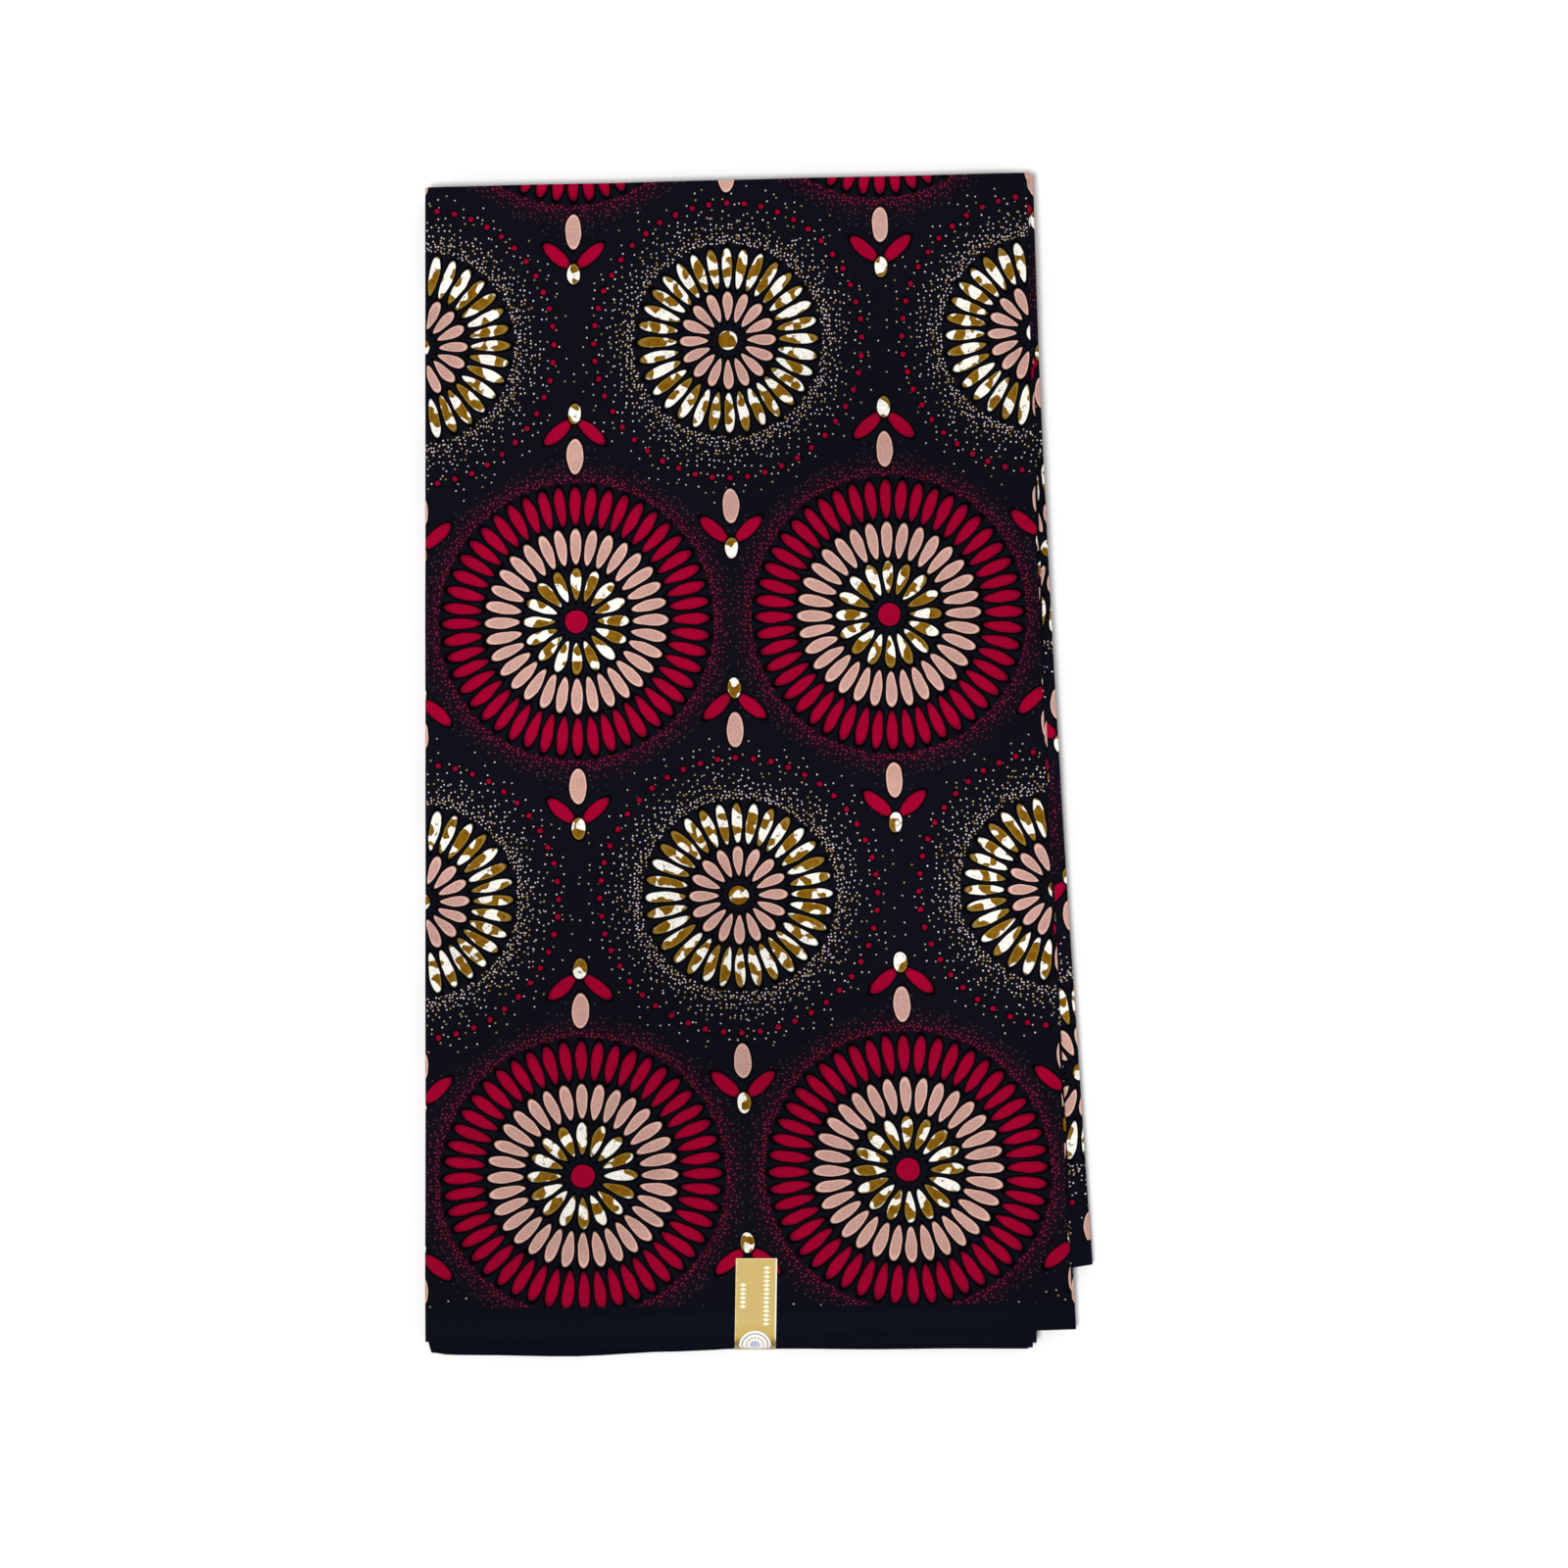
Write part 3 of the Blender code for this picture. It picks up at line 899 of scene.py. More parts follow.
class Graph:
    """A material's nodes."""

    def __init__(self, name: str) -> None:
        """A new material of one Principled shader.

        Args:
            name: The material's name.
        """
        self.material = bpy.data.materials.new(name)
        self.material.use_nodes = True
        self.tree = self.material.node_tree
        self.shader = self.tree.nodes["Principled BSDF"]

    def feed(self, socket: bpy.types.NodeSocket, value: Shade | float) -> None:
        """Put a wire or a constant on a socket.

        Args:
            socket: A node's input.
            value: What it is given.
        """
        if isinstance(value, Wire):
            self.tree.links.new(value.socket, socket)
        else:
            socket.default_value = value

    def math(self, operation: str, *values: Wire | float) -> Wire:
        """A sum or function of one, two or three values.

        Args:
            operation: Its name in Blender.
            values: The values, in order.

        Returns:
            The result.
        """
        node = self.tree.nodes.new("ShaderNodeMath")
        node.operation = operation
        for socket, value in zip(node.inputs, values):
            self.feed(socket, value)
        return Wire(self, node.outputs[0])

    def squares(self, x: Wire, y: Wire) -> Wire:
        """The sum of the squares of two values."""
        return self.math("MULTIPLY_ADD", x, x, y * y)

    def distance(self, x: Wire, y: Wire) -> Wire:
        """How far a place is from the middle, from its two parts."""
        return self.math("SQRT", self.squares(x, y))

    def from_nearest(self, value: Wire, step: float) -> Wire:
        """How far a value is past the nearest whole number of steps."""
        return value - self.math("ROUND", value / step) * step

    def above(self, value: Wire, edge: Wire | float, soft: float) -> Wire:
        """1 where a value is above an edge, and 0 where it is below.

        Args:
            value: The value.
            edge: The edge.
            soft: How far to each side of the edge it is eased.

        Returns:
            The share, from 0 to 1.
        """
        node = self.tree.nodes.new("ShaderNodeMapRange")
        node.interpolation_type = "SMOOTHSTEP"
        self.feed(node.inputs["Value"], value)
        self.feed(node.inputs["From Min"], edge - soft)
        self.feed(node.inputs["From Max"], edge + soft)
        return Wire(self, node.outputs[0])

    def below(self, value: Wire, edge: Wire | float, soft: float) -> Wire:
        """1 where a value is below an edge, and 0 where it is above, eased over a soft width."""
        return 1.0 - self.above(value, edge, soft)

    def mix(self, share: Wire, start: Shade, end: Shade) -> Wire:
        """A colour part of the way from one colour to another.

        Args:
            share: How far, from 0 to 1.
            start: The first colour.
            end: The second one.

        Returns:
            The colour.
        """
        node = self.tree.nodes.new("ShaderNodeMix")
        node.data_type = "RGBA"
        self.feed(node.inputs[MIX_SHARE], share)
        self.feed(node.inputs[MIX_START], start)
        self.feed(node.inputs[MIX_END], end)
        return Wire(self, node.outputs[MIX_RESULT])

    def between(self, share: Wire, start: float, end: float) -> Wire:
        """A number part of the way from one number to another."""
        return self.math("MULTIPLY_ADD", share, end - start, start)

    def map_place(self, name: str) -> Wire:
        """The place on one of the piece's UV maps.

        Args:
            name: The map's name.

        Returns:
            The place.
        """
        node = self.tree.nodes.new("ShaderNodeUVMap")
        node.uv_map = name
        return Wire(self, node.outputs[0])

    def parts(self, vector: Wire) -> tuple[Wire, Wire]:
        """The first two parts of a place or a colour.

        Args:
            vector: The place or colour.

        Returns:
            Its two parts.
        """
        node = self.tree.nodes.new("ShaderNodeSeparateXYZ")
        self.feed(node.inputs[0], vector)
        return Wire(self, node.outputs[0]), Wire(self, node.outputs[1])

    def joined(self, x: Wire, y: Wire) -> Wire:
        """A place from its two parts.

        Args:
            x: The first part.
            y: The second part.

        Returns:
            The place.
        """
        node = self.tree.nodes.new("ShaderNodeCombineXYZ")
        self.feed(node.inputs[0], x)
        self.feed(node.inputs[1], y)
        return Wire(self, node.outputs[0])

    def noise(
        self, place: Wire, size: float, detail: float = PLAIN_DETAIL, grain: float = EVEN_GRAIN,
        coloured: bool = False,
    ) -> Wire:
        """Even noise.

        Args:
            place: The place on a map of metres.
            size: Of its patches, in metres.
            detail: How many finer sizes it adds.
            grain: How strong they are.
            coloured: Whether it gives a colour of three values in place of one value.

        Returns:
            The noise, round its middle value.
        """
        node = self.tree.nodes.new("ShaderNodeTexNoise")
        node.noise_dimensions = "2D"
        self.feed(node.inputs["Vector"], place)
        self.feed(node.inputs["Scale"], 1.0 / size)
        self.feed(node.inputs["Detail"], detail)
        self.feed(node.inputs["Roughness"], grain)
        return Wire(self, node.outputs[1 if coloured else 0])

    def dots(self, place: Wire, spacing: float, loose: float) -> tuple[Wire, Wire, Wire, Wire]:
        """Scattered dots.

        Args:
            place: The place on a map of metres.
            spacing: From dot to dot.
            loose: How far they stray from even rows, up to 1.

        Returns:
            How far the nearest dot is, where it lies, and two random values of its own.
        """
        node = self.tree.nodes.new("ShaderNodeTexVoronoi")
        node.voronoi_dimensions = "2D"
        node.feature = "F1"
        self.feed(node.inputs["Vector"], place)
        self.feed(node.inputs["Scale"], 1.0 / spacing)
        self.feed(node.inputs["Randomness"], loose)
        first, second = self.parts(Wire(self, node.outputs["Color"]))
        distance = Wire(self, node.outputs["Distance"]) * spacing
        return distance, Wire(self, node.outputs["Position"]), first, second

    def scaled(self, colour: Wire, tone: Wire) -> Wire:
        """A colour made lighter or darker.

        Args:
            colour: The colour.
            tone: Above 1 to make it lighter, below 1 to make it darker.

        Returns:
            The new colour.
        """
        node = self.tree.nodes.new("ShaderNodeVectorMath")
        node.operation = "SCALE"
        self.feed(node.inputs[0], colour)
        self.feed(node.inputs["Scale"], tone)
        return Wire(self, node.outputs[0])

    def bump(self, height: Wire, distance: float, strength: float) -> Wire:
        """A surface normal from a height.

        Args:
            height: The height, from 0 to 1 or from -1 to 1.
            distance: What a height of 1 stands for, in metres.
            strength: How strongly it shows.

        Returns:
            The normal.
        """
        node = self.tree.nodes.new("ShaderNodeBump")
        self.feed(node.inputs["Height"], height)
        node.inputs["Distance"].default_value = distance
        node.inputs["Strength"].default_value = strength
        return Wire(self, node.outputs[0])

    def finished(self, colour: Wire, roughness: Wire, normal: Wire, specular: float) -> bpy.types.Material:
        """The material with its shader fed.

        Args:
            colour: The surface's colour.
            roughness: How dull it is.
            normal: Its fine relief.
            specular: How bright its gloss is, the same all over.

        Returns:
            The material.
        """
        self.feed(self.shader.inputs["Base Color"], colour)
        self.feed(self.shader.inputs["Roughness"], roughness)
        self.feed(self.shader.inputs["Normal"], normal)
        self.shader.inputs["Specular IOR Level"].default_value = specular
        return self.material


MILLIMETRE = 0.001
SOFT = 0.16 * MILLIMETRE                # softness of a printed edge
RIM = 0.55 * MILLIMETRE                 # width of the rim inside a printed shape's edge
OUTLINE = 0.75 * MILLIMETRE             # width of the dark line round it
OUTLINE_SOFT = 0.32 * MILLIMETRE


@dataclass(frozen=True)
class Dyes:
    """The print's colours."""

    ground: Colour = linear(10, 11, 20)
    plain: Colour = linear(8, 11, 20)
    selvedge: Colour = linear(10, 13, 23)
    outline: Colour = linear(1, 0, 2)
    crimson: Ink = (linear(148, 0, 40), linear(118, 0, 34))
    pink: Ink = (linear(186, 145, 134), linear(212, 169, 156))
    ochre: Colour = linear(130, 91, 16)
    deep_ochre: Colour = linear(112, 74, 3)
    ochre_rim: Colour = linear(136, 108, 44)
    white: Colour = linear(238, 235, 226)
    vein: Colour = linear(112, 74, 22)
    haze: Colour = linear(42, 2, 24)
    red_dot: Colour = linear(160, 26, 60)
    dim_dot: Colour = linear(72, 52, 62)
    pale_dot: Colour = linear(228, 212, 208)
    gold_dot: Colour = linear(172, 144, 88)


@dataclass(frozen=True)
class PetalRing:
    """A ring of petals in a rosette, with a size for the large rosette and one for the small."""

    petals: int
    radius: Pair
    half_length: Pair
    half_width: Pair
    flare: float            # how much wider the outer end is


@dataclass(frozen=True)
class DotZone:
    """Evenly spaced dots in one part of the stippled ring round a rosette."""

    spacing: float
    near: float             # where they begin, as a share of the ring's breadth outwards
    far: float              # where they end
    ragged: float           # how unevenly they end


@dataclass(frozen=True)
class Leaf:
    """A leaf, bud or drop of a sprig."""

    middle: Pair
    half: Pair
    lean: float = 0.0       # to the right, in radians


@dataclass(frozen=True)
class RosettePlace:
    """Where a place lies in the nearest rosette and beside the nearest sprig."""

    radius: Wire            # distance from the rosette's middle
    angle: Wire             # round it
    kind: Wire              # 0 for a large and 1 for a small rosette
    sprig_x: Wire           # from the sprig's middle line
    sprig_y: Wire           # along that line, away from the nearest row


@dataclass(frozen=True)
class WaxPrint:
    """Resin-dyed cotton: rosettes of petals in staggered rows, stippled rings and sprigs on near-black."""

    name: str = "wax_print_cotton"
    dyes: Dyes = Dyes()
    column: float = 0.161               # from rosette to rosette along a row
    row: float = 0.1415                 # from row to row
    first_column: float = 0.077         # the middle of one large rosette, along the cloth
    first_row: float = 0.083            # and across it
    drift: float = 0.0011               # how far the print strays from its drawing
    drift_size: float = 0.011
    inner: PetalRing = PetalRing(16, (0.0190, 0.0175), (0.0080, 0.0073), (0.0025, 0.0024), 0.40)
    middle: PetalRing = PetalRing(32, (0.0380, 0.0368), (0.0090, 0.0100), (0.00275, 0.0025), 0.25)
    outer: PetalRing = PetalRing(48, (0.0587, 0.0700), (0.0097, 0.0014), (0.0028, 0.0014), 0.22)
    heart: Pair = (0.0058, 0.0048)      # its radius
    dots_start: Pair = (0.0708, 0.0492)         # the inner radius of the stippled ring
    dots_breadth: Pair = (0.0270, 0.0340)
    dot_radius: Pair = (0.00036, 0.00039)
    dots: tuple[DotZone, ...] = (
        DotZone(0.0018, 0.00, 0.13, 0.10),
        DotZone(0.0028, 0.12, 0.36, 0.18),
        DotZone(0.0048, 0.34, 0.80, 0.50),
    )
    dots_loose: float = 0.80            # how far the dots stray from even rows
    dot_size: Pair = (0.85, 1.15)
    dot_tone: Pair = (0.62, 1.06)
    red_fades: float = 2.4              # how fast the red dots dim outwards
    gold_from: float = 0.72             # the pale dots above this random value are gold
    gold_soft: float = 0.04
    haze: float = 0.60                  # how strong it is beside a large rosette
    haze_power: float = 5.0             # how fast it fades outwards
    haze_soft: float = 0.03
    patch_size: float = 0.0072          # of the white patches in the ochre
    patch_detail: float = 0.7
    patch_edge: float = 0.508           # there are patches where the noise is above this
    patch_soft: float = 0.014
    ochre_soft: float = 0.25
    vein_size: float = 0.0048
    vein_width: float = 0.010
    vein_share: Pair = (0.15, 0.75)     # how strongly it shows on ochre and on white
    leaf: Leaf = Leaf((0.0088, -0.0020), (0.0034, 0.0088), math.radians(48.0))
    bud: Leaf = Leaf((0.0, 0.0100), (0.0042, 0.0088))
    drop: Leaf = Leaf((0.0, -0.0115), (0.0033, 0.0052))
    plain_edge: float = 0.01505         # from the cloth's edge to where the print stops
    plain_edge_wander: float = 0.0015
    plain_edge_repeat: float = 0.66     # length of one wander
    selvedge: float = 0.0112            # width of the closer weave beside the cloth's edge
    selvedge_soft: float = 0.001
    thread: float = 0.00029             # from one thread to the next
    weave_tone: float = 0.07
    weave_height: float = 0.00006
    weave_strength: float = 0.35
    painted_light_size: float = 0.24             # of the large, soft patches of painted light and shade
    painted_light_start: Pair = (2.90, 0.55)     # where in the painted light's noise the print's start lies
    painted_light_tone: Pair = (0.66, 1.26)
    mottle_size: float = 0.016
    mottle_tone: Pair = (0.84, 1.16)
    grain_size: float = 0.0013
    grain_tone: Pair = (0.80, 1.20)
    roughness: Pair = (0.62, 0.78)
    specular: float = 0.02
    sheen: float = 0.05
    sheen_roughness: float = 0.30

    def rosette_place(self, graph: Graph, s: Wire, t: Wire) -> RosettePlace:
        """Where a place on the cloth lies in the print's repeat.

        Args:
            graph: The material's nodes.
            s: Metres along the cloth.
            t: Metres across it.

        Returns:
            The place in the nearest rosette and beside the nearest sprig.
        """
        t = t - self.first_row
        number = graph.math("ROUND", t / self.row)
        from_row = abs(t - number * self.row)
        odd = graph.math("PINGPONG", number, 1.0)
        from_column = abs(graph.from_nearest(s - self.first_column - odd * (self.column / 2.0), self.column))
        other_column = self.column / 2.0 - from_column
        other_row = self.row - from_row
        own = graph.squares(from_column, from_row)
        other = graph.squares(other_column, other_row)
        second = graph.math("LESS_THAN", other, own)
        x = from_column + second * (other_column - from_column)
        y = from_row + second * (other_row - from_row)
        return RosettePlace(
            radius=graph.math("SQRT", graph.math("MINIMUM", own, other)),
            angle=graph.math("ARCTAN2", y, x),
            kind=abs(odd - second),
            sprig_x=other_column,
            sprig_y=from_row - self.row / 3.0,
        )

    def petals(self, graph: Graph, ring: PetalRing, place: RosettePlace) -> Wire:
        """One ring of petals.

        Args:
            graph: The material's nodes.
            ring: The ring's sizes.
            place: The place in the rosette.

        Returns:
            The distance outside the nearest petal's edge, below 0 inside it.
        """
        aside = abs(place.radius * graph.from_nearest(place.angle, 2.0 * math.pi / ring.petals))
        along = place.radius - graph.between(place.kind, *ring.radius)
        length = along / graph.between(place.kind, *ring.half_length)
        half_width = graph.between(place.kind, *ring.half_width)
        width = aside / (half_width * (1.0 + ring.flare * graph.math("MAXIMUM", length, -1.0)))
        return (graph.distance(width, length) - 1.0) * half_width

    def leaf_edge(self, graph: Graph, leaf: Leaf, place: RosettePlace) -> Wire:
        """A leaf, bud or drop of a sprig.

        Args:
            graph: The material's nodes.
            leaf: Its sizes.
            place: The place beside the sprig.

        Returns:
            About the distance outside its edge, below 0 inside it.
        """
        cos = math.cos(leaf.lean)
        sin = math.sin(leaf.lean)
        x = place.sprig_x - leaf.middle[0]
        y = place.sprig_y - leaf.middle[1]
        across = (x * cos - y * sin) / leaf.half[0]
        along = (x * sin + y * cos) / leaf.half[1]
        return (graph.distance(across, along) - 1.0) * leaf.half[0]

    def printed(self, graph: Graph, under: Wire, distance: Wire, ink: Ink) -> Wire:
        """A shape printed over what is under it, with a rim inside its edge and a dark line round it.

        Args:
            graph: The material's nodes.
            under: The colour under the shape.
            distance: Outside the shape's edge, below 0 inside it.
            ink: The shape's colour and its rim's.

        Returns:
            The colour with the shape over it.
        """
        outlined = graph.mix(graph.below(distance, OUTLINE, OUTLINE_SOFT), under, self.dyes.outline)
        colour = graph.mix(graph.above(distance, -RIM, SOFT), *ink)
        return graph.mix(graph.below(distance, 0.0, SOFT), outlined, colour)

    def crackled(self, graph: Graph, cloth: Wire) -> Ink:
        """Ochre dye with rounded white patches that the resin kept clean, and veins across them.

        Args:
            graph: The material's nodes.
            cloth: The place on the cloth.

        Returns:
            The ink.
        """
        patch = graph.noise(cloth, self.patch_size, self.patch_detail)
        tone = graph.noise(cloth, self.patch_size / 2.0)
        vein = graph.noise(cloth, self.vein_size)
        white = graph.above(patch, self.patch_edge, self.patch_soft)
        line = graph.below(abs(vein - NOISE_MIDDLE), self.vein_width, self.vein_width / 2.0)
        light = graph.above(tone, NOISE_MIDDLE, self.ochre_soft)
        ochre = graph.mix(light, self.dyes.deep_ochre, self.dyes.ochre)
        fill = graph.mix(white, ochre, self.dyes.white)
        rim = graph.mix(white, self.dyes.ochre_rim, self.dyes.white)
        return graph.mix(line * graph.between(white, *self.vein_share), fill, self.dyes.vein), rim

    def ring_share(self, graph: Graph, place: RosettePlace) -> Wire:
        """How far out a place lies in a rosette's stippled ring: 0 at its start, 1 at its end."""
        from_start = place.radius - graph.between(place.kind, *self.dots_start)
        return from_start / graph.between(place.kind, *self.dots_breadth)

    def hazed(self, graph: Graph, place: RosettePlace) -> Wire:
        """The ground, with a red haze round the large rosettes.

        Args:
            graph: The material's nodes.
            place: The place in the rosette.

        Returns:
            The colour.
        """
        out = self.ring_share(graph, place)
        near = graph.math("MAXIMUM", 1.0 - out, 0.0)
        share = graph.math("POWER", near, self.haze_power) * graph.above(out, 0.0, self.haze_soft)
        share = share * graph.between(place.kind, self.haze, 0.0)
        return graph.mix(share, self.dyes.ground, self.dyes.haze)

    def dotted(self, graph: Graph, cloth: Wire, zone: DotZone, under: Wire) -> Wire:
        """One zone of the stippled rings: red dots round the large rosettes, pale round the small ones.

        Args:
            graph: The material's nodes.
            cloth: The place on the cloth.
            zone: The dots' spacing and where they lie.
            under: The colour under them.

        Returns:
            The colour with the dots over it.
        """
        distance, middle, chance, spare = graph.dots(cloth, zone.spacing, self.dots_loose)
        place = self.rosette_place(graph, *graph.parts(middle))
        out = self.ring_share(graph, place)
        ended = graph.math("GREATER_THAN", out + chance * zone.ragged, zone.far + zone.ragged / 2.0)
        shown = graph.math("GREATER_THAN", out, zone.near) * (1.0 - ended)
        radius = graph.between(place.kind, *self.dot_radius) * graph.between(spare, *self.dot_size)
        near = graph.math("MAXIMUM", 1.0 - out * self.red_fades, 0.0)
        red = graph.mix(near, self.dyes.dim_dot, self.dyes.red_dot)
        gold = graph.above(spare, self.gold_from, self.gold_soft)
        pale = graph.mix(gold, self.dyes.pale_dot, self.dyes.gold_dot)
        dye = graph.scaled(graph.mix(place.kind, red, pale), graph.between(chance, *self.dot_tone))
        return graph.mix(shown * graph.below(distance, radius, SOFT), under, dye)

    def rosette(self, graph: Graph, place: RosettePlace, crackle: Ink, under: Wire) -> Wire:
        """The rings of petals and the heart, in crimson, pink and ochre, or in ochre and pink.

        Args:
            graph: The material's nodes.
            place: The place in the rosette.
            crackle: The crackled ochre.
            under: The colour under the rosette.

        Returns:
            The colour with the rosette over it.
        """
        dyes = self.dyes
        colour = self.printed(graph, under, self.petals(graph, self.outer, place), dyes.crimson)
        for ring, large, small in ((self.middle, dyes.pink, crackle), (self.inner, crackle, dyes.pink)):
            ink = tuple(graph.mix(place.kind, *pair) for pair in zip(large, small))
            colour = self.printed(graph, colour, self.petals(graph, ring, place), ink)
        edge = place.radius - graph.between(place.kind, *self.heart)
        heart = graph.mix(place.kind, dyes.crimson[0], crackle[0])
        return self.printed(graph, colour, edge, (heart, heart))

    def sprig(self, graph: Graph, place: RosettePlace, crackle: Ink, under: Wire) -> Wire:
        """The sprig in the gap between three rosettes.

        Args:
            graph: The material's nodes.
            place: The place beside the sprig.
            crackle: The crackled ochre.
            under: The colour under the sprig.

        Returns:
            The colour with the sprig over it.
        """
        colour = under
        inks = (self.dyes.crimson, self.dyes.pink, crackle)
        for part, ink in zip((self.leaf, self.bud, self.drop), inks):
            colour = self.printed(graph, colour, self.leaf_edge(graph, part, place), ink)
        return colour

    def plain_edges(self, graph: Graph, s: Wire, t: Wire, print_colour: Wire) -> Wire:
        """The print, with the plain strip beside each selvedge where it stops sharply.

        Args:
            graph: The material's nodes.
            s: Metres along the cloth.
            t: Metres across it.
            print_colour: The print's colour.

        Returns:
            The colour.
        """
        swing = graph.math("COSINE", s * (2.0 * math.pi / self.plain_edge_repeat))
        border = swing * self.plain_edge_wander + self.plain_edge
        from_edge = graph.math("MINIMUM", t, CLOTH_WIDTH - t)
        beside = graph.below(from_edge, self.selvedge, self.selvedge_soft)
        plain = graph.mix(beside, self.dyes.plain, self.dyes.selvedge)
        return graph.mix(graph.above(from_edge, border, SOFT), plain, print_colour)

    def woven(self, graph: Graph, cloth: Wire, colour: Wire) -> bpy.types.Material:
        """The material, with the dye's uneven mottle, large soft patches of painted light and shade, the
        plain weave and the cotton's sheen.

        Args:
            graph: The material's nodes.
            cloth: The place on the cloth.
            colour: The dyed colour.

        Returns:
            The material.
        """
        s, t = graph.parts(cloth)
        # Painted light: large soft lighter and darker patches over the cloth, standing in for the light's
        # uneven spread over the pack
        painted_light_place = graph.joined(s + self.painted_light_start[0], t + self.painted_light_start[1])
        painted_light = graph.noise(painted_light_place, self.painted_light_size)
        mottle = graph.noise(cloth, self.mottle_size, FINE_DETAIL, ROUGH_GRAIN)
        grain = graph.noise(cloth, self.grain_size, PLAIN_DETAIL, ROUGH_GRAIN)
        warp = graph.math("SINE", s * (math.pi / self.thread))
        weft = graph.math("SINE", t * (math.pi / self.thread))
        weave = warp * weft
        tone = graph.between(mottle, *self.mottle_tone) + weave * self.weave_tone
        tone = tone * graph.between(grain, *self.grain_tone) * graph.between(painted_light, *self.painted_light_tone)
        bump = graph.bump(weave, self.weave_height, self.weave_strength)
        roughness = graph.between(mottle, *self.roughness)
        graph.shader.inputs["Sheen Weight"].default_value = self.sheen
        graph.shader.inputs["Sheen Roughness"].default_value = self.sheen_roughness
        return graph.finished(graph.scaled(colour, tone), roughness, bump, self.specular)

    def material(self) -> bpy.types.Material:
        """The cotton's material.

        Returns:
            The material, on a map of metres along the cloth and across it.
        """
        graph = Graph(self.name)
        cloth = graph.map_place(CLOTH_MAP)
        s, t = graph.parts(cloth)
        drift_s, drift_t = graph.parts(graph.noise(cloth, self.drift_size, coloured=True))
        hand_s = s + (drift_s - NOISE_MIDDLE) * self.drift
        hand_t = t + (drift_t - NOISE_MIDDLE) * self.drift
        place = self.rosette_place(graph, hand_s, hand_t)
        colour = self.hazed(graph, place)
        for zone in self.dots:
            colour = self.dotted(graph, cloth, zone, colour)
        crackle = self.crackled(graph, cloth)
        colour = self.rosette(graph, place, crackle, colour)
        colour = self.sprig(graph, place, crackle, colour)
        colour = self.plain_edges(graph, s, t, colour)
        return self.woven(graph, cloth, colour)

    def dress(self, piece: bpy.types.Object) -> None:
        """Give a piece this finish."""
        piece.data.materials.append(bpy.data.materials.get(self.name) or self.material())


@dataclass(frozen=True)
class LozengeColumn:
    """A column of printed lozenges down the band."""

    x: float
    start: float            # from the band's upper end
    count: int


@dataclass(frozen=True)
class BandPaper:
    """Gold-printed paper with pale lines and chips at its edges, small lozenges down its face and painted
    shade over its bend down the pack's front.
    """

    gold: Colour = linear(193, 167, 88)
    deep_gold: Colour = linear(181, 153, 76)
    # painted shade: darker gold for the bend where the strip turns down the pack's front
    painted_bend_shade: Colour = linear(124, 96, 34)
    cream: Colour = linear(232, 225, 202)
    pale_gold: Colour = linear(214, 196, 138)
    right_line: float = 0.0007
    left_line: float = 0.0004
    upper_line: float = 0.0005
    chip_size: float = 0.0013           # of the chips beside the strip's sides
    chip_reach: float = 0.0006
    chip_from: float = 0.62             # there are chips where the noise is above this
    chip_soft: float = 0.02
    lozenge: float = 0.00094            # half the height of a lozenge
    lozenge_width: float = 2.0          # in its heights
    lozenge_step: float = 0.0022
    columns: tuple[LozengeColumn, LozengeColumn] = (
        LozengeColumn(0.00535, 0.00375, 14), LozengeColumn(-0.00665, 0.01245, 6),
    )
    crease: float = 0.0490              # along the strip, the middle of the painted shade over the bend
    crease_reach: float = 0.0070
    crease_soft: float = 0.0026
    mottle_size: float = 0.0035
    roughness: Pair = (0.34, 0.44)
    fibre_size: float = 0.0006
    fibre_detail: float = 2.0
    fibre_height: float = 0.00002
    fibre_strength: float = 0.4
    specular: float = 0.25
    soft: float = 0.00008

    def material(self) -> bpy.types.Material:
        """The paper's material.

        Returns:
            The material, on a map of metres across the strip and along it from its upper end.
        """
        graph = Graph("gold_band_paper")
        place = graph.map_place(CLOTH_MAP)
        x, y = graph.parts(place)
        mottle = graph.noise(place, self.mottle_size, FINE_DETAIL, ROUGH_GRAIN)
        colour = graph.mix(mottle, self.deep_gold, self.gold)
        half = BAND_WIDTH / 2.0
        lines = graph.below(x, self.left_line - half, self.soft)
        lines = graph.math("MAXIMUM", lines, graph.below(y, self.upper_line, self.soft))
        colour = graph.mix(lines, colour, self.pale_gold)
        colour = graph.mix(graph.above(x, half - self.right_line, self.soft), colour, self.cream)
        for column in self.columns:
            colour = graph.mix(self.lozenges(graph, column, x, y), colour, self.cream)
        # Painted shade: the gold darkens over the bend down the pack's front, where shade falls
        bend_shade_mask = graph.below(abs(y - self.crease), self.crease_reach, self.crease_soft)
        colour = graph.mix(bend_shade_mask, colour, self.painted_bend_shade)
        chips = graph.above(graph.noise(place, self.chip_size), self.chip_from, self.chip_soft)
        beside = graph.above(abs(x), half - self.chip_reach, self.soft)
        colour = graph.mix(chips * beside, colour, self.cream)
        fibre = graph.noise(place, self.fibre_size, self.fibre_detail, ROUGH_GRAIN)
        bump = graph.bump(fibre, self.fibre_height, self.fibre_strength)
        return graph.finished(colour, graph.between(mottle, *self.roughness), bump, self.specular)

    def lozenges(self, graph: Graph, column: LozengeColumn, x: Wire, y: Wire) -> Wire:
        """One column of lozenges.

        Args:
            graph: The material's nodes.
            column: The column.
            x: Metres across the strip.
            y: Metres along it.

        Returns:
            1 on a lozenge and 0 beside it.
        """
        number = graph.math("FLOOR", (y - column.start) / self.lozenge_step)
        along = abs(y - column.start - (number + 0.5) * self.lozenge_step)
        lozenge = graph.below(abs(x - column.x) / self.lozenge_width + along, self.lozenge, self.soft)
        begun = graph.math("GREATER_THAN", number, -0.5)
        return lozenge * begun * graph.math("LESS_THAN", number, column.count - 0.5)


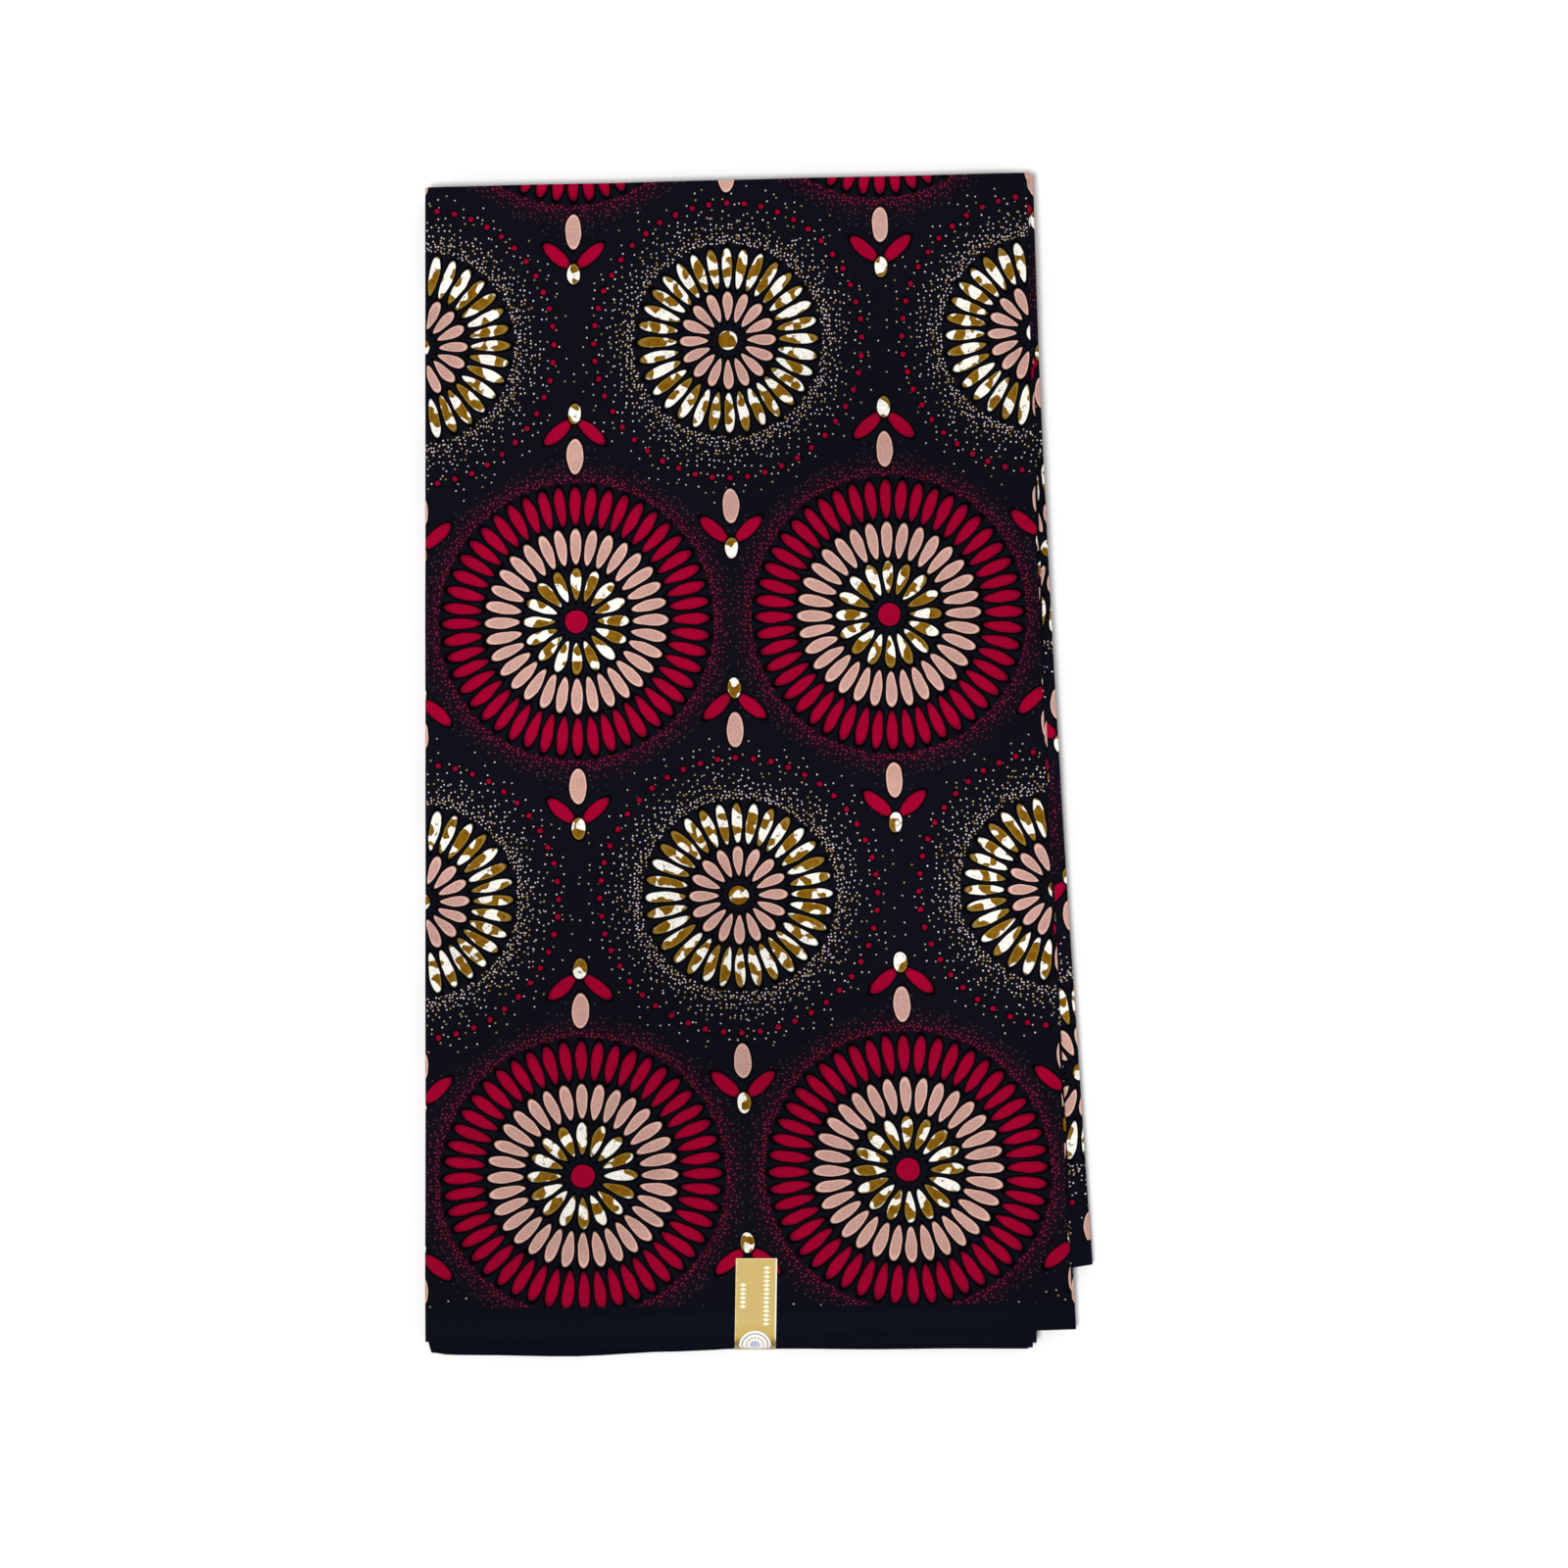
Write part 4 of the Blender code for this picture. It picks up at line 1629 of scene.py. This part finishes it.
@dataclass(frozen=True)
class SealPaper:
    """White paper with a grey ring, a ring of gold beads and a pale blue middle."""

    white: Colour = linear(241, 240, 238)
    shaded_white: Colour = linear(228, 227, 224)
    grey: Colour = linear(92, 92, 98)
    gold: Colour = linear(170, 152, 66)
    blue: Colour = linear(172, 178, 206)
    ring: float = 0.82              # places of the rings, as shares of the radius
    bead_ring: float = 0.55
    middle: float = 0.34
    line: float = 0.00026           # half the width of the grey ring
    beads: int = 16
    bead: float = 0.00055           # a bead's radius
    mottle_size: float = 0.0011
    mottle_height: float = 0.00002
    mottle_strength: float = 0.3
    roughness: Pair = (0.45, 0.55)
    specular: float = 0.5
    soft: float = 0.00008

    def material(self) -> bpy.types.Material:
        """The seal's material.

        Returns:
            The material, on a map of metres from the seal's middle.
        """
        graph = Graph("white_seal_paper")
        place = graph.map_place(CLOTH_MAP)
        x, y = graph.parts(place)
        distance = graph.distance(x, y)
        mottle = graph.noise(place, self.mottle_size, FINE_DETAIL, ROUGH_GRAIN)
        colour = graph.mix(mottle, self.shaded_white, self.white)
        ring = graph.below(abs(distance - SEAL_RADIUS * self.ring), self.line, self.soft)
        colour = graph.mix(ring, colour, self.grey)
        angle = graph.math("ARCTAN2", y, x)
        aside = graph.from_nearest(angle, 2.0 * math.pi / self.beads) * distance
        from_bead = graph.distance(aside, distance - SEAL_RADIUS * self.bead_ring)
        colour = graph.mix(graph.below(from_bead, self.bead, self.soft), colour, self.gold)
        colour = graph.mix(graph.below(distance, SEAL_RADIUS * self.middle, self.soft), colour, self.blue)
        bump = graph.bump(mottle, self.mottle_height, self.mottle_strength)
        return graph.finished(colour, graph.between(mottle, *self.roughness), bump, self.specular)


@dataclass
class LabelBand:
    """The paper strip that lies on the pack and goes down its front and under it, with a round seal."""

    step: float = 0.0003            # of the mesh along the strip
    columns: int = 14
    lean: float = 0.015             # how far the strip runs to the left for each metre along it
    overhang: float = 0.0008        # how far it keeps level past the top panel's front edge
    flap_steps: int = 16
    shoulder: float = 0.0022        # how far from a turn its rounding starts, at most
    corner: float = 0.0004          # how tight the turn at the table is
    rounds: int = 3                 # of cutting the turns' corners
    cut: float = 0.25               # of a stretch between two turns, that a cut takes at most
    seal_segments: int = 64
    seal_cuts: int = 7              # of each edge of the seal's wedges
    seal_x: float = -0.0014
    seal_along: float = 0.0451      # from the strip's upper end to the seal's middle
    seal_thickness: float = 0.00009
    seal_clear: float = 0.00005

    def face_height(self, x: float, y: float) -> float:
        """The height of the top panel's upper face."""
        z = TOP_BOTTOM + TOP_PITCH / 2.0 + FACE_OFFSET
        return over_fan(x, y, z) + relief(x, y, z)

    def corners(self, x: float) -> list[Vector]:
        """The turns of the strip's way, from its upper end on.

        Args:
            x: The place across the strip.

        Returns:
            The turns, in y and z.
        """
        rise = PAPER_CLEAR + PAPER_THICKNESS / 2.0
        share = (x - TOP_LEFT) / (TOP_RIGHT_FRONT - TOP_LEFT)
        edge = straight(TOP_FRONT_LEFT, TOP_FRONT_RIGHT)(share) - self.overhang
        flap = [blend(BAND_BACK, edge, count / self.flap_steps) for count in range(self.flap_steps + 1)]
        way = [(y, self.face_height(x, y) + rise) for y in flap]
        face = BAND_FACE - PAPER_THICKNESS / 2.0
        way += [
            (BAND_SHOULDER, settled(x, CORE_FRONT, CORE_TOP) + rise),
            (face, rise + self.corner),
            (face, rise),
            (face + self.corner, rise),
            (BAND_UNDER_BACK, rise),
        ]
        return [Vector(turn) for turn in way]

    def route(self, x: float) -> list[Vector]:
        """The strip's way with its turns rounded.

        Args:
            x: The place across the strip.

        Returns:
            The places along it, in y and z.
        """
        points = self.corners(x)
        for _ in range(self.rounds):
            cut = [points[0]]
            for before, after in zip(points, points[1:]):
                share = min(self.cut, self.shoulder / (after - before).length)
                cut += [before.lerp(after, share), before.lerp(after, 1.0 - share)]
            points = cut + [points[-1]]
        return points

    def sample(self, points: Sequence[Vector], distance: float) -> Vector:
        """The place a distance along a line.

        Args:
            points: The line's points.
            distance: From its start.

        Returns:
            The place, or the line's end past it.
        """
        for before, after in zip(points, points[1:]):
            span = (after - before).length
            if distance <= span:
                return before.lerp(after, distance / span)
            distance -= span
        return points[-1]

    def lie(self, x: float, distance: float, rise: float) -> Vector:
        """A place on the strip, raised from the middle of the paper.

        Args:
            x: Across the strip.
            distance: Along the strip from its upper end.
            rise: Outwards from the paper's middle.

        Returns:
            The place.
        """
        x -= self.lean * distance
        points = self.route(x)
        spot = self.sample(points, distance)
        before = self.sample(points, max(0.0, distance - self.step))
        after = self.sample(points, distance + self.step)
        along = (after - before).normalized()
        return Vector((x, spot.x + along.y * rise, spot.y - along.x * rise))

    def length(self) -> float:
        """The strip's length."""
        points = self.route(BAND_MIDDLE)
        return sum((after - before).length for before, after in zip(points, points[1:]))

    def build(self) -> bpy.types.Object:
        """The strip of paper.

        Returns:
            The piece.
        """
        length = self.length()

        def lay(u: float, v: float) -> Laid:
            """Where a corner of the grid lies.

            Args:
                u: Its share across the strip.
                v: Its share along the strip, from the end under the pack.

            Returns:
                The place on the flat strip, and the one round the pack.
            """
            across = (u - 0.5) * BAND_WIDTH
            distance = (1.0 - v) * length
            place = self.lie(BAND_MIDDLE + across, distance, PAPER_THICKNESS / 2.0)
            return Vector((across, distance, 0.0)), place

        piece = grid_shell("paper_band", self.columns, round(length / self.step), PAPER_THICKNESS, lay)
        piece.data.materials.append(BandPaper().material())
        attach(piece, "root")
        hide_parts("label_band")
        return piece

    def build_seal(self) -> bpy.types.Object:
        """The round seal, stuck over the turn of the band.

        Returns:
            The piece.
        """
        rise = PAPER_THICKNESS / 2.0 + self.seal_clear + self.seal_thickness
        bm = bmesh.new()
        bmesh.ops.create_circle(
            bm, cap_ends=True, cap_tris=True, segments=self.seal_segments, radius=SEAL_RADIUS
        )
        bmesh.ops.subdivide_edges(bm, edges=bm.edges[:], cuts=self.seal_cuts, use_grid_fill=True)
        bmesh.ops.triangulate(bm, faces=bm.faces[:])
        metres = bm.verts.layers.float_vector.new(CLOTH_MAP)
        for vert in bm.verts:
            vert[metres] = vert.co.copy()
            vert.co = self.lie(self.seal_x + vert.co.x, self.seal_along - vert.co.y, rise)
        piece = thin_shell("paper_seal", bm, self.seal_thickness, (CLOTH_MAP,))
        piece.data.materials.append(SealPaper().material())
        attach(piece, "root")
        return piece


@dataclass
class Studio:
    """A plain pale floor, soft light from the lower left and a camera straight above."""

    floor_size: float = 400.0
    floor_tone: Colour = (0.96, 0.96, 0.96, 1.0)
    floor_roughness: float = 0.9
    view_x: float = 0.01275             # the place under the camera
    view_y: float = -0.01025
    view_height: float = 6.6838
    lens: float = 300.0
    sensor: float = 36.0
    key_energy: float = 1.95
    key_angle: float = 14.0             # in degrees: how soft the shadow's edge is
    key_way: tuple[float, float, float] = (0.15, 0.14, -1.0)
    surround: float = 0.59

    def floor(self) -> None:
        """The floor, with a smooth pale finish."""
        bm = bmesh.new()
        bmesh.ops.create_grid(bm, x_segments=1, y_segments=1, size=self.floor_size / 2.0)
        mesh = bpy.data.meshes.new("floor")
        bm.to_mesh(mesh)
        bm.free()
        material = bpy.data.materials.new("pale_floor")
        material.use_nodes = True
        shader = material.node_tree.nodes["Principled BSDF"]
        shader.inputs["Base Color"].default_value = self.floor_tone
        shader.inputs["Roughness"].default_value = self.floor_roughness
        shader.inputs["Specular IOR Level"].default_value = 0.0
        mesh.materials.append(material)
        floor = placed("floor", mesh)

    def light(self) -> None:
        """A soft key light and an even surround."""
        key = bpy.data.lights.new("key", "SUN")
        key.energy = self.key_energy
        key.angle = math.radians(self.key_angle)
        placed("key", key).rotation_euler = Vector(self.key_way).to_track_quat("-Z", "Y").to_euler()
        world = bpy.data.worlds.new("surround")
        world.use_nodes = True
        surround = world.node_tree.nodes["Background"]
        surround.inputs["Color"].default_value = (1.0, 1.0, 1.0, 1.0)
        surround.inputs["Strength"].default_value = self.surround
        bpy.context.scene.world = world

    def camera(self) -> None:
        """The camera, straight above the pack."""
        data = bpy.data.cameras.new("camera")
        data.lens = self.lens
        data.sensor_width = self.sensor
        camera = placed("camera", data)
        camera.location = (self.view_x, self.view_y, self.view_height)
        bpy.context.scene.camera = camera
        bpy.context.scene.view_settings.view_transform = "Standard"


CLOTHS = (
    FoldedCloth(
        name="base_cloth", stack=BASE, step_across=0.013, step_along=0.016,
        node="base_fold", rests_on=(),
    ),
    FoldedCloth(
        name="core_cloth", stack=CORE, step_across=0.045, step_along=0.026,
        node="folded_core", rests_on=("base_cloth",),
    ),
    FoldedCloth(
        name="fan_cloth", stack=FAN, step_across=0.014, step_along=0.014,
        node="fanned_fold", rests_on=("core_cloth",),
    ),
    FoldedCloth(
        name="top_cloth", stack=TOP, step_across=0.0042, step_along=0.0045,
        node="top_panel", rests_on=("fan_cloth", "core_cloth"),
    ),
)


def main() -> None:
    """Build the cloth from its inner end to its outer one, the band and the studio."""
    logging.basicConfig(level=logging.INFO, format="%(message)s")
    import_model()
    finish = WaxPrint()
    # The print is set out from the left end of the top panel, and what lies under it comes before that
    stretches = [cloth.along_places()[1][-1] for cloth in CLOTHS]
    start = -sum(stretches[:-1]) - PANELS[-1].fold_radius(Way.LEFT) * math.pi
    for cloth in CLOTHS:
        piece, start = cloth.build(start, finish)
        log.info("%s: %d faces, ends %.3f m along the cloth", piece.name, len(piece.data.polygons), start)
    band = LabelBand()
    for piece in (band.build(), band.build_seal()):
        log.info("%s: %d faces", piece.name, len(piece.data.polygons))
    studio = Studio()
    studio.floor()
    studio.light()
    studio.camera()


if __name__ == "__main__":
    main()
